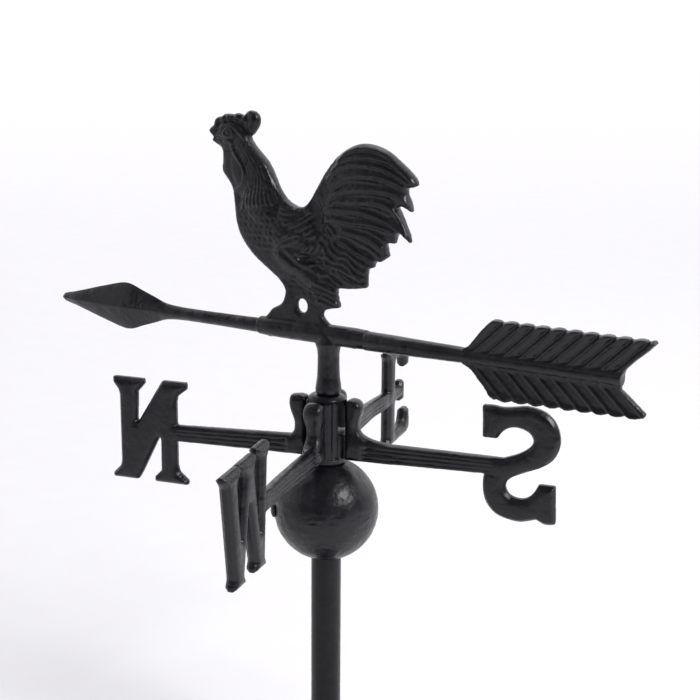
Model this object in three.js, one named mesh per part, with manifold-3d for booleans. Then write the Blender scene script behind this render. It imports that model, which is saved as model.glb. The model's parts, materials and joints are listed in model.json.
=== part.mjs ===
// A small cast-iron weather vane: a rooster on an arrow that swivels over a fixed compass cross.
// Millimetres, +Z up, +Y towards the N arm and +X towards the E arm. The origin is on the pole's axis,
// at the underside of the mounting base.
import * as THREE from "three";
import { mergeVertices } from "three/addons/utils/BufferGeometryUtils.js";
import Module from "manifold-3d";

const wasm = await Module();
wasm.setup();

// Driving dimensions
const ARM_HEIGHT = 240; // centre line of the compass arms above the base's underside
const POLE_RADIUS = 10;
const SPIGOT_RADIUS = 6; // the pole turned down to pass through the ball and the hub
const SPINDLE_RADIUS = 4; // the pole's top end, which the rooster turns on
const CLEARANCE = 0.3; // between pieces that touch
const BORE_CLEARANCE = 0.4; // on the radius of each bore

const BASE_RADIUS = 65;
const BASE_THICKNESS = 8;
const BASE_BOSS_RADIUS = 17;
const BASE_BOSS_TOP = 36;
const BASE_SOCKET_FLOOR = 6; // the pole stands on this much metal
const BASE_SCREW_CIRCLE = 50;
const BASE_SCREW_SHANK = 2.7;
const BASE_SET_SCREW_HEIGHT = 24;
const BASE_SET_SCREW_SHANK = 3;

const BALL_RADIUS = 34.9;
const BALL_DROP = 42; // centre of the ball below the arms' centre line
const BALL_FLAT_DROP = 9.1; // the flat on its top, below the same line
const SHOULDER_DROP = 24; // where the pole narrows, inside the ball
const BALL_SCREW_ANGLE = 120;
const BALL_SCREW_SHANK = 2.5;

const HUB_RADIUS = 13.5;
const HUB_BOTTOM = -8.8; // heights of the hub, the cap and the arms count from the arms' centre line
const HUB_TOP = 33.2;
const SLOT_BOTTOM = -5;
const SLOT_DEPTH_RADIUS = 10.6;
const FLUTE_RADIUS = 3.4;
const FLUTE_CIRCLE = 15.2;
const HUB_SCREW_HEIGHT = 13;
const HUB_SCREW_ANGLE = 45;
const CAP_TOP = 37.2;

const KNUCKLE_INNER = 13.9; // distance of a knuckle's inner face from the pole's axis
const KNUCKLE_WIDTH = 12.6;
const KNUCKLE_BOTTOM = -5.9;
const ARM_WIDTH = 8.6;
const ARM_ROOT_HALF_HEIGHT = 6.6;
const ARM_END_HALF_HEIGHT = 5.2;
const LETTER_THICKNESS = 9;
const LETTER_SWELL = 0.5; // how far the cast letters stand outside their drawn outlines
const LETTER_HALF_HEIGHT = 36;

const VANE_YAW = -100.8; // where the arrow's tail points at rest, in degrees from +X
const ARROW_RISE = 76.8; // axis of the arrow above the arms' centre line
const SOCKET_BOTTOM = 37.6;
const SOCKET_BORE_TOP = 75.6;
const THRUST_BALL_RADIUS = 3;
const BOSS_RADIUS = 6.8;
const BOSS_FRONT = -52; // along the arrow, from the axis; the tail is on the positive side
const BOSS_REAR = 30;
const SHAFT_RADIUS = 5.1;
const TENON_RADIUS = 3.3;
const TENON_LENGTH = 18;
const ARROW_TIP = -222;
const HEAD_WIDEST = -164.5;
const HEAD_HALF_HEIGHT = 16.9;
const HEAD_HALF_THICKNESS = 5.6;
const HEAD_NECK = -130; // where the head's sides run out into the shaft
const FLETCH_START = 98;
const FLETCH_END = 220.2;
const FLETCH_HALF_HEIGHT = 25.8;
const FLETCH_THICKNESS = 5;
const ROOSTER_THICKNESS = 9;
const GRUB_RADIUS = 2;
const GRUB_LENGTH = 3;

const degrees = THREE.MathUtils.degToRad;
const castIron = { color: 0x232227, roughness: 0.42, metalness: 0.55 };
const brightSteel = { color: 0x9a9a9c, roughness: 0.35, metalness: 1 };
const blackScrew = { color: 0x2b2a2e, roughness: 0.38, metalness: 0.8 };

// Solids and booleans

function solidOf(geometry) {
  const bare = geometry.clone();
  bare.deleteAttribute("normal");
  bare.deleteAttribute("uv");
  const merged = mergeVertices(bare, 1e-4);
  const corners = [];
  const index = merged.index.array;
  for (let i = 0; i < index.length; i += 3) {
    const [a, b, c] = [index[i], index[i + 1], index[i + 2]];
    if (a !== b && b !== c && c !== a) corners.push(a, b, c);
  }
  return new wasm.Manifold(
    new wasm.Mesh({
      numProp: 3,
      vertProperties: merged.attributes.position.array,
      triVerts: new Uint32Array(corners),
    }),
  );
}

function geometryOf(solid) {
  const { vertProperties, triVerts } = solid.getMesh();
  const geometry = new THREE.BufferGeometry();
  geometry.setAttribute("position", new THREE.BufferAttribute(vertProperties, 3));
  geometry.setIndex(new THREE.BufferAttribute(triVerts, 1));
  geometry.computeVertexNormals();
  return geometry;
}

function join(...geometries) {
  return geometryOf(geometries.map(solidOf).reduce((whole, next) => whole.add(next)));
}

function cut(geometry, ...tools) {
  return geometryOf(tools.map(solidOf).reduce((left, tool) => left.subtract(tool), solidOf(geometry)));
}

// Shapes of turned and cast stock

// A profile of [radius, height] points from bottom to top, turned about Z.
function turned(profile, segments = 40) {
  const points = profile.map(([radius, height]) => new THREE.Vector2(radius, height));
  return new THREE.LatheGeometry(points, segments).rotateX(Math.PI / 2);
}

function rod(radius, from, to, segments = 24) {
  return turned([[0, from], [radius, from], [radius, to], [0, to]], segments);
}

// A rod whose axis points outwards from the pole at an angle, between two distances from the axis.
function radialRod(radius, from, to, height, angle, segments = 16) {
  return rod(radius, from, to, segments)
    .rotateY(Math.PI / 2)
    .rotateZ(degrees(angle))
    .translate(0, 0, height);
}

// A rod along the arrow, which lies on local X.
function arrowRod(radius, from, to, segments = 20) {
  return rod(radius, from, to, segments)
    .rotateY(Math.PI / 2)
    .translate(0, 0, ARROW_RISE);
}

// An outline of (distance outwards, height) cast as an upright plate, centred on the XZ plane. Its
// edge can be set outside the outline by a swell.
function uprightPlate(outline, thickness, bevel, swell = 0) {
  return new THREE.ExtrudeGeometry(outline, {
    depth: thickness - 2 * bevel,
    bevelEnabled: bevel > 0,
    bevelThickness: bevel,
    bevelSize: bevel,
    bevelOffset: swell - bevel,
    bevelSegments: 1,
    curveSegments: 5,
  })
    .translate(0, 0, bevel - thickness / 2)
    .rotateX(Math.PI / 2);
}

function polygon(points) {
  return new THREE.Shape(points.map(([x, y]) => new THREE.Vector2(x, y)));
}

// The base, the pole and the ball

function baseScrewPlaces() {
  return [45, 135, 225, 315].map((angle) => [
    BASE_SCREW_CIRCLE * Math.cos(degrees(angle)),
    BASE_SCREW_CIRCLE * Math.sin(degrees(angle)),
  ]);
}

function baseFlange() {
  const body = turned([
    [0, 0],
    [BASE_RADIUS, 0],
    [BASE_RADIUS, BASE_THICKNESS - 2],
    [BASE_RADIUS - 3, BASE_THICKNESS],
    [BASE_BOSS_RADIUS + 8, BASE_THICKNESS],
    [BASE_BOSS_RADIUS + 2, BASE_THICKNESS + 6],
    [BASE_BOSS_RADIUS, BASE_BOSS_TOP - 2],
    [BASE_BOSS_RADIUS - 2, BASE_BOSS_TOP],
    [0, BASE_BOSS_TOP],
  ], 48);
  const socket = rod(POLE_RADIUS + BORE_CLEARANCE, BASE_SOCKET_FLOOR, BASE_BOSS_TOP + 1, 32);
  const screwHoles = baseScrewPlaces().map(([x, y]) =>
    rod(BASE_SCREW_SHANK + BORE_CLEARANCE, -1, BASE_THICKNESS + 1, 16).translate(x, y, 0),
  );
  const setScrewHole = radialRod(
    BASE_SET_SCREW_SHANK + BORE_CLEARANCE, POLE_RADIUS - 1, BASE_BOSS_RADIUS + 5, BASE_SET_SCREW_HEIGHT, 0,
  );
  return cut(body, socket, ...screwHoles, setScrewHole);
}

// A round-headed wood screw, cut short at the base's underside.
function baseScrew() {
  const seat = BASE_THICKNESS + CLEARANCE;
  return turned([
    [0, 1],
    [BASE_SCREW_SHANK, 1],
    [BASE_SCREW_SHANK, seat],
    [5.4, seat],
    [5.4, seat + 1],
    [4.2, seat + 2.8],
    [2, seat + 3.6],
    [0, seat + 3.6],
  ], 16);
}

// The square-headed set screw that clamps the pole in the base.
function baseSetScrew() {
  const seat = BASE_BOSS_RADIUS + 2; // clear of the boss, which widens downwards
  const side = 2.1 * BASE_SET_SCREW_SHANK;
  const length = 4;
  const shank = radialRod(
    BASE_SET_SCREW_SHANK, POLE_RADIUS + CLEARANCE, seat + 1, BASE_SET_SCREW_HEIGHT, 0, 14,
  );
  const head = new THREE.BoxGeometry(length, side, side).translate(
    seat + length / 2, 0, BASE_SET_SCREW_HEIGHT,
  );
  return join(shank, head);
}

// The round-headed screw that fixes the ball to the pole.
function ballSetScrew() {
  const seat = BALL_RADIUS + CLEARANCE;
  return turned([
    [0, POLE_RADIUS + CLEARANCE],
    [BALL_SCREW_SHANK, POLE_RADIUS + CLEARANCE],
    [BALL_SCREW_SHANK, seat],
    [4.4, seat],
    [4.4, seat + 1],
    [3.4, seat + 2.8],
    [1.6, seat + 3.6],
    [0, seat + 3.6],
  ], 16)
    .rotateY(Math.PI / 2)
    .rotateZ(degrees(BALL_SCREW_ANGLE))
    .translate(0, 0, ARM_HEIGHT - BALL_DROP);
}

function pole() {
  return turned([
    [0, BASE_SOCKET_FLOOR + CLEARANCE],
    [POLE_RADIUS - 1, BASE_SOCKET_FLOOR + CLEARANCE],
    [POLE_RADIUS, BASE_SOCKET_FLOOR + 1.3],
    [POLE_RADIUS, ARM_HEIGHT - SHOULDER_DROP],
    [SPIGOT_RADIUS, ARM_HEIGHT - SHOULDER_DROP],
    [SPIGOT_RADIUS, ARM_HEIGHT + HUB_TOP],
    [SPINDLE_RADIUS, ARM_HEIGHT + HUB_TOP],
    [SPINDLE_RADIUS, ARM_HEIGHT + SOCKET_BORE_TOP - 8],
    [SPINDLE_RADIUS - 1, ARM_HEIGHT + SOCKET_BORE_TOP - 2 * THRUST_BALL_RADIUS - 2 * CLEARANCE],
    [0, ARM_HEIGHT + SOCKET_BORE_TOP - 2 * THRUST_BALL_RADIUS - 2 * CLEARANCE],
  ], 32);
}

function ball() {
  const middle = ARM_HEIGHT - BALL_DROP;
  const top = ARM_HEIGHT - BALL_FLAT_DROP;
  const sphere = new THREE.SphereGeometry(BALL_RADIUS, 40, 24).rotateX(Math.PI / 2).translate(0, 0, middle);
  const overTop = rod(BALL_RADIUS, top, middle + BALL_RADIUS + 2);
  const poleBore = rod(POLE_RADIUS + BORE_CLEARANCE, middle - 50, ARM_HEIGHT - SHOULDER_DROP + CLEARANCE, 32);
  const spigotBore = rod(SPIGOT_RADIUS + BORE_CLEARANCE, middle, top + 1);
  const screwHole = radialRod(
    BALL_SCREW_SHANK + BORE_CLEARANCE, POLE_RADIUS - 1, BALL_RADIUS + 2, middle, BALL_SCREW_ANGLE,
  );
  return cut(sphere, overTop, poleBore, spigotBore, screwHole);
}

// The hub, its cap and the four compass arms

// An arm's dovetail tongue in plan, or with a margin the slot that takes it.
function dovetail(inner, outer, margin, from, to) {
  const outline = polygon([
    [inner, -3.1 - margin],
    [outer, -2.2 - margin],
    [outer, 2.2 + margin],
    [inner, 3.1 + margin],
  ]);
  return new THREE.ExtrudeGeometry(outline, { depth: to - from, bevelEnabled: false }).translate(0, 0, from);
}

function hub() {
  const body = turned([
    [0, HUB_BOTTOM],
    [HUB_RADIUS - 1, HUB_BOTTOM],
    [HUB_RADIUS, HUB_BOTTOM + 1],
    [HUB_RADIUS, HUB_TOP - 1],
    [HUB_RADIUS - 1, HUB_TOP],
    [0, HUB_TOP],
  ], 32);
  const bore = rod(SPIGOT_RADIUS + BORE_CLEARANCE, HUB_BOTTOM - 1, HUB_TOP + 1);
  const slots = [0, 90, 180, 270].map((angle) =>
    dovetail(SLOT_DEPTH_RADIUS, HUB_RADIUS + 2, CLEARANCE, SLOT_BOTTOM, HUB_TOP + 1).rotateZ(degrees(angle)),
  );
  const flutes = [45, 135, 225, 315].map((angle) =>
    rod(FLUTE_RADIUS, SLOT_BOTTOM, HUB_TOP - 3, 16).translate(FLUTE_CIRCLE, 0, 0).rotateZ(degrees(angle)),
  );
  const screwHole = radialRod(
    GRUB_RADIUS + BORE_CLEARANCE, SPIGOT_RADIUS - 1, HUB_RADIUS, HUB_SCREW_HEIGHT, HUB_SCREW_ANGLE,
  );
  return cut(body, bore, ...slots, ...flutes, screwHole).translate(0, 0, ARM_HEIGHT);
}

// A headless screw at the bottom of one flute, that fixes the hub to the pole.
function hubSetScrew() {
  const from = SPIGOT_RADIUS + CLEARANCE;
  return radialRod(GRUB_RADIUS, from, from + 5, ARM_HEIGHT + HUB_SCREW_HEIGHT, HUB_SCREW_ANGLE, 12);
}

// The domed cap that closes the hub and throws the rain off the spindle.
function hubCap() {
  const body = turned([
    [0, HUB_TOP + CLEARANCE],
    [12.4, HUB_TOP + CLEARANCE],
    [12.4, HUB_TOP + 1.2],
    [11.4, CAP_TOP - 1.2],
    [9, CAP_TOP],
    [0, CAP_TOP],
  ], 32);
  const bore = rod(SPINDLE_RADIUS + BORE_CLEARANCE, HUB_TOP - 1, CAP_TOP + 1);
  return cut(body, bore).translate(0, 0, ARM_HEIGHT);
}

// Side view of the upright knuckle that hooks an arm into the hub. Its foot sweeps out along the bar.
function knuckleOutline(footReach) {
  const outline = new THREE.Shape();
  outline.moveTo(KNUCKLE_INNER, KNUCKLE_BOTTOM);
  outline.lineTo(KNUCKLE_INNER, 31);
  outline.quadraticCurveTo(KNUCKLE_INNER, 35, 18.5, 35);
  outline.bezierCurveTo(23.5, 35, 26, 31, 24.6, 26);
  outline.bezierCurveTo(23.6, 22, 22, 20, 22, 15);
  outline.quadraticCurveTo(22, 8, footReach, ARM_ROOT_HALF_HEIGHT - 1);
  outline.lineTo(footReach, KNUCKLE_BOTTOM);
  return outline;
}

// The bar from the knuckle out to the letter, which may sag or rise a little on its way.
function armBar(reach, rise) {
  const start = KNUCKLE_INNER + 12;
  const end = reach + 10; // inside the letter's first stroke
  return uprightPlate(polygon([
    [start, KNUCKLE_BOTTOM],
    [end, rise - ARM_END_HALF_HEIGHT],
    [end, rise + ARM_END_HALF_HEIGHT],
    [start, ARM_ROOT_HALF_HEIGHT],
  ]), ARM_WIDTH, 1.6);
}

function compassArm(outline, reach, letterRise, barRise, footReach) {
  const tongue = dovetail(SLOT_DEPTH_RADIUS + CLEARANCE, KNUCKLE_INNER + 1, 0, SLOT_BOTTOM + CLEARANCE, 30);
  const knuckle = uprightPlate(knuckleOutline(footReach), KNUCKLE_WIDTH, 1.8);
  const letter = uprightPlate(outline, LETTER_THICKNESS, 1.2, LETTER_SWELL).translate(reach, 0, letterRise);
  return join(knuckle, tongue, armBar(reach, barRise), letter).translate(0, 0, ARM_HEIGHT);
}

// Letters: x runs outwards from the end nearest the hub, y is the height from the letter's middle.

function letterN() {
  const half = LETTER_HALF_HEIGHT;
  return polygon([
    [0, -half], [24.4, -half], [24.4, -33], [19.4, -27], [19.2, -5], [21, -3], [35, -31], [38, -half],
    [56.5, -half], [56.5, -33.5], [51, -28], [50, -24], [50, 24], [51, 27.5], [54.8, 32.5], [54.8, half],
    [31.7, half], [31.7, 33], [37, 27], [38, 7], [36.5, 5], [20, 32], [17.5, half], [0, half],
    [0, 32], [7, 26.5], [8, 22], [8, -23], [6.6, -28], [0, -33.5],
  ]);
}

function letterE() {
  const half = LETTER_HALF_HEIGHT;
  return polygon([
    [0, -half], [45, -half], [50.5, -33], [51, -27], [49.5, -17], [42.5, -17], [40, -24.5], [36, -28],
    [17, -28], [15.5, -26], [15.5, -4.5], [29, -4], [31.5, -7.5], [37, -7.5], [37, 7.5], [31.5, 7.5],
    [29, 4], [15.5, 4.5], [15.5, 26], [17, 28], [33, 28], [37.5, 24.5], [40, 17], [47, 17], [49, 28],
    [47.5, half], [0, half], [0, 33.5], [3, 29.5], [3, -29.5], [0, -33.5],
  ]);
}

function letterW() {
  const half = LETTER_HALF_HEIGHT;
  return polygon([
    [0, half], [0, 33.5], [4, 29], [8.4, -30], [6.4, -33], [6.6, -half], [21.5, -half], [21.6, -33],
    [19.8, -30], [30.4, 12.3], [38.4, -30], [36.4, -33], [36.6, -half], [51.5, -half], [51.6, -33],
    [49.6, -30], [58, 29], [62, 33.5], [62, half], [43, half], [43, 33.5], [47, 29], [41.7, -11.3],
    [34.8, 29], [38.5, 33.5], [38.5, half], [20, half], [20, 33.5], [23.5, 29], [13.7, -16.4],
    [11, 29], [16, 33.5], [16, half],
  ]);
}

// The S keeps one stroke width of about 12 round two bowls, with a block at each end.
function letterS() {
  const outline = new THREE.Shape();
  outline.moveTo(0.5, 37);
  outline.lineTo(1, 16.5);
  outline.lineTo(9.8, 16.5);
  outline.bezierCurveTo(12.5, 21, 16, 25, 23, 25);
  outline.bezierCurveTo(32, 25, 36.5, 19, 32.5, 13.5);
  outline.bezierCurveTo(27, 8, 20, 4.5, 14, 3);
  outline.bezierCurveTo(5, 0.5, 2, -6, 2, -15);
  outline.bezierCurveTo(2, -28, 11, -37, 24, -37);
  outline.bezierCurveTo(29, -37, 33, -35.5, 37, -34);
  outline.bezierCurveTo(40, -37, 45, -38, 49, -36);
  outline.lineTo(48, -11.5);
  outline.lineTo(38, -11.5);
  outline.bezierCurveTo(35, -19, 31, -22.5, 25, -22.5);
  outline.bezierCurveTo(18, -22.5, 14.5, -14, 19, -9);
  outline.bezierCurveTo(25, -4, 33, -3, 39.5, 1);
  outline.bezierCurveTo(47, 6, 50, 11, 50, 18);
  outline.bezierCurveTo(50, 30, 40, 38.5, 29, 38.5);
  outline.bezierCurveTo(23, 38.5, 18, 36.5, 13, 36.5);
  outline.bezierCurveTo(9, 36.8, 5, 38, 0.5, 37);
  return outline;
}

// The vane: a rooster with a horizontal boss and a spindle socket, and the two halves of the arrow.
// Here x runs along the arrow from its axis towards the tail, and y is the height above the arms.

function roosterOutline() {
  const outline = new THREE.Shape();
  outline.moveTo(-50, 80);
  outline.bezierCurveTo(-41, 88, -33, 91, -32, 104);
  outline.bezierCurveTo(-33, 112, -47, 118, -56, 124);
  outline.bezierCurveTo(-68, 133, -71, 146, -72, 164);
  outline.bezierCurveTo(-73.5, 172, -80, 171, -80, 180);
  outline.lineTo(-80, 192);
  outline.lineTo(-88, 196);
  outline.lineTo(-84.5, 199.5);
  outline.lineTo(-90, 202);
  outline.quadraticCurveTo(-86, 205, -85.5, 209);
  outline.bezierCurveTo(-80, 214.5, -70, 213.5, -63, 214);
  outline.bezierCurveTo(-57, 221.6, -49.6, 216, -51.5, 208);
  outline.quadraticCurveTo(-54, 202, -59, 199.3);
  outline.bezierCurveTo(-42, 186, -38, 158, -21, 158);
  outline.bezierCurveTo(-2, 160, -4, 200, 28, 201);
  outline.bezierCurveTo(43, 201, 52, 190, 64, 178);
  outline.lineTo(57, 175);
  outline.lineTo(61, 161);
  outline.lineTo(51, 163.5);
  outline.lineTo(60, 143.5);
  outline.lineTo(50.5, 147.5);
  outline.lineTo(50, 141.5);
  outline.lineTo(42.5, 139.5);
  outline.lineTo(45, 132);
  outline.lineTo(36, 128.5);
  outline.lineTo(30.5, 121.5);
  outline.lineTo(29.8, 111);
  outline.lineTo(8, 107.5);
  outline.lineTo(9, 95);
  outline.lineTo(-1, 93.5);
  outline.quadraticCurveTo(-6, 83, 8, 81.5);
  outline.lineTo(8, 78);
  outline.lineTo(-50, 78);
  const legGap = new THREE.Path();
  legGap.absellipse(-18.5, 93.5, 4.1, 4.7, 0, 2 * Math.PI, false);
  outline.holes.push(legGap);
  return outline;
}

function roundedMass(x, height, halfLength, halfHeight, halfThickness) {
  return new THREE.SphereGeometry(1, 20, 12)
    .scale(halfLength, halfThickness, halfHeight)
    .translate(x, 0, height);
}

function socketBody() {
  return turned([
    [0, SOCKET_BOTTOM],
    [8.4, SOCKET_BOTTOM],
    [8.6, SOCKET_BOTTOM + 3],
    [7.5, SOCKET_BOTTOM + 12],
    [7.1, SOCKET_BOTTOM + 26],
    [7.6, ARROW_RISE],
    [0, ARROW_RISE],
  ], 24);
}

function rooster() {
  const figure = uprightPlate(roosterOutline(), ROOSTER_THICKNESS, 1);
  const whole = join(
    figure,
    roundedMass(-38, 138, 30, 27, 8),
    roundedMass(-60, 176, 15, 26, 6.5),
    arrowRod(BOSS_RADIUS, BOSS_FRONT, BOSS_REAR),
    socketBody(),
  );
  const grubHoles = grubPlaces().map((x) =>
    rod(GRUB_RADIUS + CLEARANCE, ARROW_RISE - 10, ARROW_RISE, 14).translate(x, 0, 0),
  );
  return cut(
    whole,
    rod(SPINDLE_RADIUS + BORE_CLEARANCE, SOCKET_BOTTOM - 1, SOCKET_BORE_TOP),
    arrowRod(TENON_RADIUS + CLEARANCE, BOSS_FRONT - 1, BOSS_FRONT + TENON_LENGTH + 1),
    arrowRod(TENON_RADIUS + CLEARANCE, BOSS_REAR - TENON_LENGTH - 1, BOSS_REAR + 1),
    ...grubHoles,
  );
}

function grubPlaces() {
  return [BOSS_FRONT + 9, BOSS_REAR - 9];
}

// A headless screw from below, flush with the boss, that holds a half of the arrow.
function vaneGrub(x) {
  const top = ARROW_RISE - TENON_RADIUS - CLEARANCE;
  return rod(GRUB_RADIUS, top - GRUB_LENGTH, top, 12).translate(x, 0, 0);
}

// The head has a four-sided section, with a ridge down the middle of each face.
function arrowHead() {
  const end = BOSS_FRONT - CLEARANCE;
  const head = new THREE.LatheGeometry([
    [0, ARROW_TIP],
    [2.6, ARROW_TIP + 2.5],
    [5.2, ARROW_TIP + 11],
    [HEAD_HALF_HEIGHT - 0.9, HEAD_WIDEST - 6],
    [HEAD_HALF_HEIGHT, HEAD_WIDEST],
    [HEAD_HALF_HEIGHT - 0.9, HEAD_WIDEST + 5],
    [6.4, HEAD_NECK],
    [4, HEAD_NECK + 10],
    [0, HEAD_NECK + 10],
  ].map(([radius, along]) => new THREE.Vector2(radius, along)), 4)
    .scale(HEAD_HALF_THICKNESS / HEAD_HALF_HEIGHT, 1, 1)
    .rotateZ(-Math.PI / 2)
    .translate(0, 0, ARROW_RISE);
  return join(
    head,
    arrowRod(SHAFT_RADIUS, HEAD_NECK - 10, end),
    arrowRod(TENON_RADIUS, end - 2, end + TENON_LENGTH),
  );
}

function fletchOutline() {
  const half = FLETCH_HALF_HEIGHT;
  return polygon([
    [FLETCH_START, -SHAFT_RADIUS],
    [FLETCH_START + 21, -half],
    [FLETCH_END - 6, 2 - half],
    [FLETCH_END - 3.5, 6 - half],
    [FLETCH_END - 19, -6],
    [FLETCH_END - 19, 5],
    [FLETCH_END, half - 2],
    [FLETCH_END - 1, half],
    [FLETCH_START + 20, half],
    [FLETCH_START, SHAFT_RADIUS],
  ]);
}

function arrowTail() {
  const start = BOSS_REAR + CLEARANCE;
  const shaft = turned([
    [0, start],
    [6.2, start],
    [SHAFT_RADIUS, FLETCH_START],
    [SHAFT_RADIUS - 0.6, FLETCH_END - 20],
    [0, FLETCH_END - 20],
  ], 20).rotateY(Math.PI / 2).translate(0, 0, ARROW_RISE);
  const fletching = uprightPlate(fletchOutline(), FLETCH_THICKNESS, 1).translate(0, 0, ARROW_RISE);
  return join(shaft, fletching, arrowRod(TENON_RADIUS, start - TENON_LENGTH, start + 2));
}

// Assembly

function part(name, geometry, finish) {
  const mesh = new THREE.Mesh(geometry, new THREE.MeshStandardMaterial(finish));
  mesh.name = name;
  return mesh;
}

const mast = new THREE.Group();
mast.add(
  part("base_flange", baseFlange(), castIron),
  part("base_set_screw", baseSetScrew(), blackScrew),
  part("pole", pole(), castIron),
  part("ball", ball(), castIron),
  part("ball_set_screw", ballSetScrew(), blackScrew),
  part("hub", hub(), castIron),
  part("hub_set_screw", hubSetScrew(), blackScrew),
  part("hub_cap", hubCap(), castIron),
);
baseScrewPlaces().forEach(([x, y], i) => {
  const screw = part("base_screw_" + (i + 1), baseScrew(), blackScrew);
  screw.position.set(x, y, 0);
  mast.add(screw);
});

// Each arm: its letter, its angle from +X, how far out the letter starts, how much the letter and
// the end of the bar stand above the arms' centre line, and how far out the knuckle's foot runs.
const compass = [
  ["arm_east", letterE(), 0, 112, 1, 2, 33],
  ["arm_north", letterN(), 90, 101, -2.3, -2.3, 33],
  ["arm_west", letterW(), 180, 106, -2, 0, 33],
  ["arm_south", letterS(), 270, 105, 3.5, 1.4, 46],
];
for (const [name, outline, angle, reach, letterRise, barRise, footReach] of compass) {
  const arm = part(name, compassArm(outline, reach, letterRise, barRise, footReach), castIron);
  arm.rotation.z = degrees(angle);
  mast.add(arm);
}

const vane = new THREE.Group();
vane.position.z = ARM_HEIGHT;
vane.rotation.z = degrees(VANE_YAW);
vane.add(
  part("rooster", rooster(), castIron),
  part("arrow_head", arrowHead(), castIron),
  part("arrow_tail", arrowTail(), castIron),
  part("arrow_head_screw", vaneGrub(grubPlaces()[0]), blackScrew),
  part("arrow_tail_screw", vaneGrub(grubPlaces()[1]), blackScrew),
  part(
    "thrust_ball",
    new THREE.SphereGeometry(THRUST_BALL_RADIUS, 16, 12).translate(
      0, 0, SOCKET_BORE_TOP - CLEARANCE - THRUST_BALL_RADIUS,
    ),
    brightSteel,
  ),
);

const weatherVane = new THREE.Group();
weatherVane.add(mast, vane);
export default weatherVane;
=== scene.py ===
import json
import math

import bmesh
import bpy
import numpy as np
from mathutils import Matrix, Vector, kdtree, noise


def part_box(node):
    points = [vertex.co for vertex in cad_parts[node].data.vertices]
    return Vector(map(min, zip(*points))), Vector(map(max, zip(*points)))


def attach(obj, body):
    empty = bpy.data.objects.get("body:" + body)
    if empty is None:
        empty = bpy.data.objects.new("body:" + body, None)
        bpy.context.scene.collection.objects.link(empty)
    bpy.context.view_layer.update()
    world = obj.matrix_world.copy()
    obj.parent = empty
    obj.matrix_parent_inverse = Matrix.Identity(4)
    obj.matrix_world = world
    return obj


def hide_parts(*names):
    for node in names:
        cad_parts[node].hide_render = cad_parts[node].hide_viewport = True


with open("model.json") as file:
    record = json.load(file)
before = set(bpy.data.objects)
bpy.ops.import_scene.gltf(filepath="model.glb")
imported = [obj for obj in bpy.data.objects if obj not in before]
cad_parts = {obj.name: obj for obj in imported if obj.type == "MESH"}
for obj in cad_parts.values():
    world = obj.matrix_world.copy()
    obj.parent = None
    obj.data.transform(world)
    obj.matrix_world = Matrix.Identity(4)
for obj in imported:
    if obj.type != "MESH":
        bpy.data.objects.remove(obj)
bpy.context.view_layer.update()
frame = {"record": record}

MM = 0.001
scene = bpy.context.scene

# Places taken from the frame, in millimetres
SPIN = frame["record"]["behaviour"]["joints"][0]
ARM_HEIGHT = SPIN["pos_m"][2] / MM
HEADING = -100.8  # where the arrow's tail points at rest, in degrees from +X
ARROW_HEIGHT = sum(corner.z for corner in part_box("arrow_head")) / 2 / MM
BALL_RADIUS = (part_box("ball")[1].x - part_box("ball")[0].x) / 2 / MM
HUB_LOW, HUB_HIGH = (corner.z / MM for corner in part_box("hub"))
CAP_LOW, CAP_HIGH = (corner.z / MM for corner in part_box("hub_cap"))
SOCKET_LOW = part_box("rooster")[0].z / MM - ARROW_HEIGHT

# The camera

CAMERA_AZIMUTH = -70.4
CAMERA_ELEVATION = 14.3
CAMERA_ROLL = 0.4
CAMERA_DISTANCE = 967  # from the middle of the compass cross, along the line of sight
CAMERA_ASIDE = 15.5
CAMERA_ABOVE = 64.2
LENS = 75.5

# Brightness of the room around the object, on the camera's side and beyond the object, and of the
# ceiling that lights the paper behind it
ROOM_NEAR = 0.09
ROOM_FAR = 0.5
CEILING = 0.92


def make_camera():
    a, e = math.radians(CAMERA_AZIMUTH), math.radians(CAMERA_ELEVATION)
    back = Vector((math.sin(a) * math.cos(e), -math.cos(a) * math.cos(e), math.sin(e)))
    right = Vector((math.cos(a), math.sin(a), 0))
    up = back.cross(right)
    turn = Matrix.Rotation(math.radians(CAMERA_ROLL), 3, back)
    right, up = turn @ right, turn @ up
    place = back * CAMERA_DISTANCE + right * CAMERA_ASIDE + up * CAMERA_ABOVE
    camera = bpy.data.objects.new("camera", bpy.data.cameras.new("camera"))
    camera.data.lens = LENS
    camera.data.clip_end = 400
    axes = Matrix((right, up, back)).transposed()
    camera.matrix_world = Matrix.Translation((place + Vector((0, 0, ARM_HEIGHT))) * MM) @ axes.to_4x4()
    scene.collection.objects.link(camera)
    scene.camera = camera


make_camera()

# Materials


def linear(colour):
    """An sRGB hex colour as linear RGBA."""
    channels = [int(colour[i : i + 2], 16) / 255 for i in (1, 3, 5)]
    curve = [c / 12.92 if c <= 0.04045 else ((c + 0.055) / 1.055) ** 2.4 for c in channels]
    return (*curve, 1)


def per_metre(millimetres):
    """The texture scale that gives a pattern features of this size."""
    return 1 / (millimetres * MM)


def add_node(tree, kind, sockets=None, **settings):
    node = tree.nodes.new(kind)
    for name, value in settings.items():
        setattr(node, name, value)
    for name, value in (sockets or {}).items():
        if isinstance(value, bpy.types.NodeSocket):
            tree.links.new(value, node.inputs[name])
        else:
            node.inputs[name].default_value = value
    return node


def new_material(name):
    material = bpy.data.materials.new(name)
    material.use_nodes = True
    material.node_tree.nodes.clear()
    return material, material.node_tree


def blend_colours(tree, factor, low, high):
    """A colour that goes from low to high with a factor."""
    mix = add_node(tree, "ShaderNodeMix", {"Factor": factor}, data_type="RGBA")
    for socket, value in ((mix.inputs[6], low), (mix.inputs[7], high)):
        if isinstance(value, bpy.types.NodeSocket):
            tree.links.new(value, socket)
        else:
            socket.default_value = value
    return mix.outputs[2]


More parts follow.
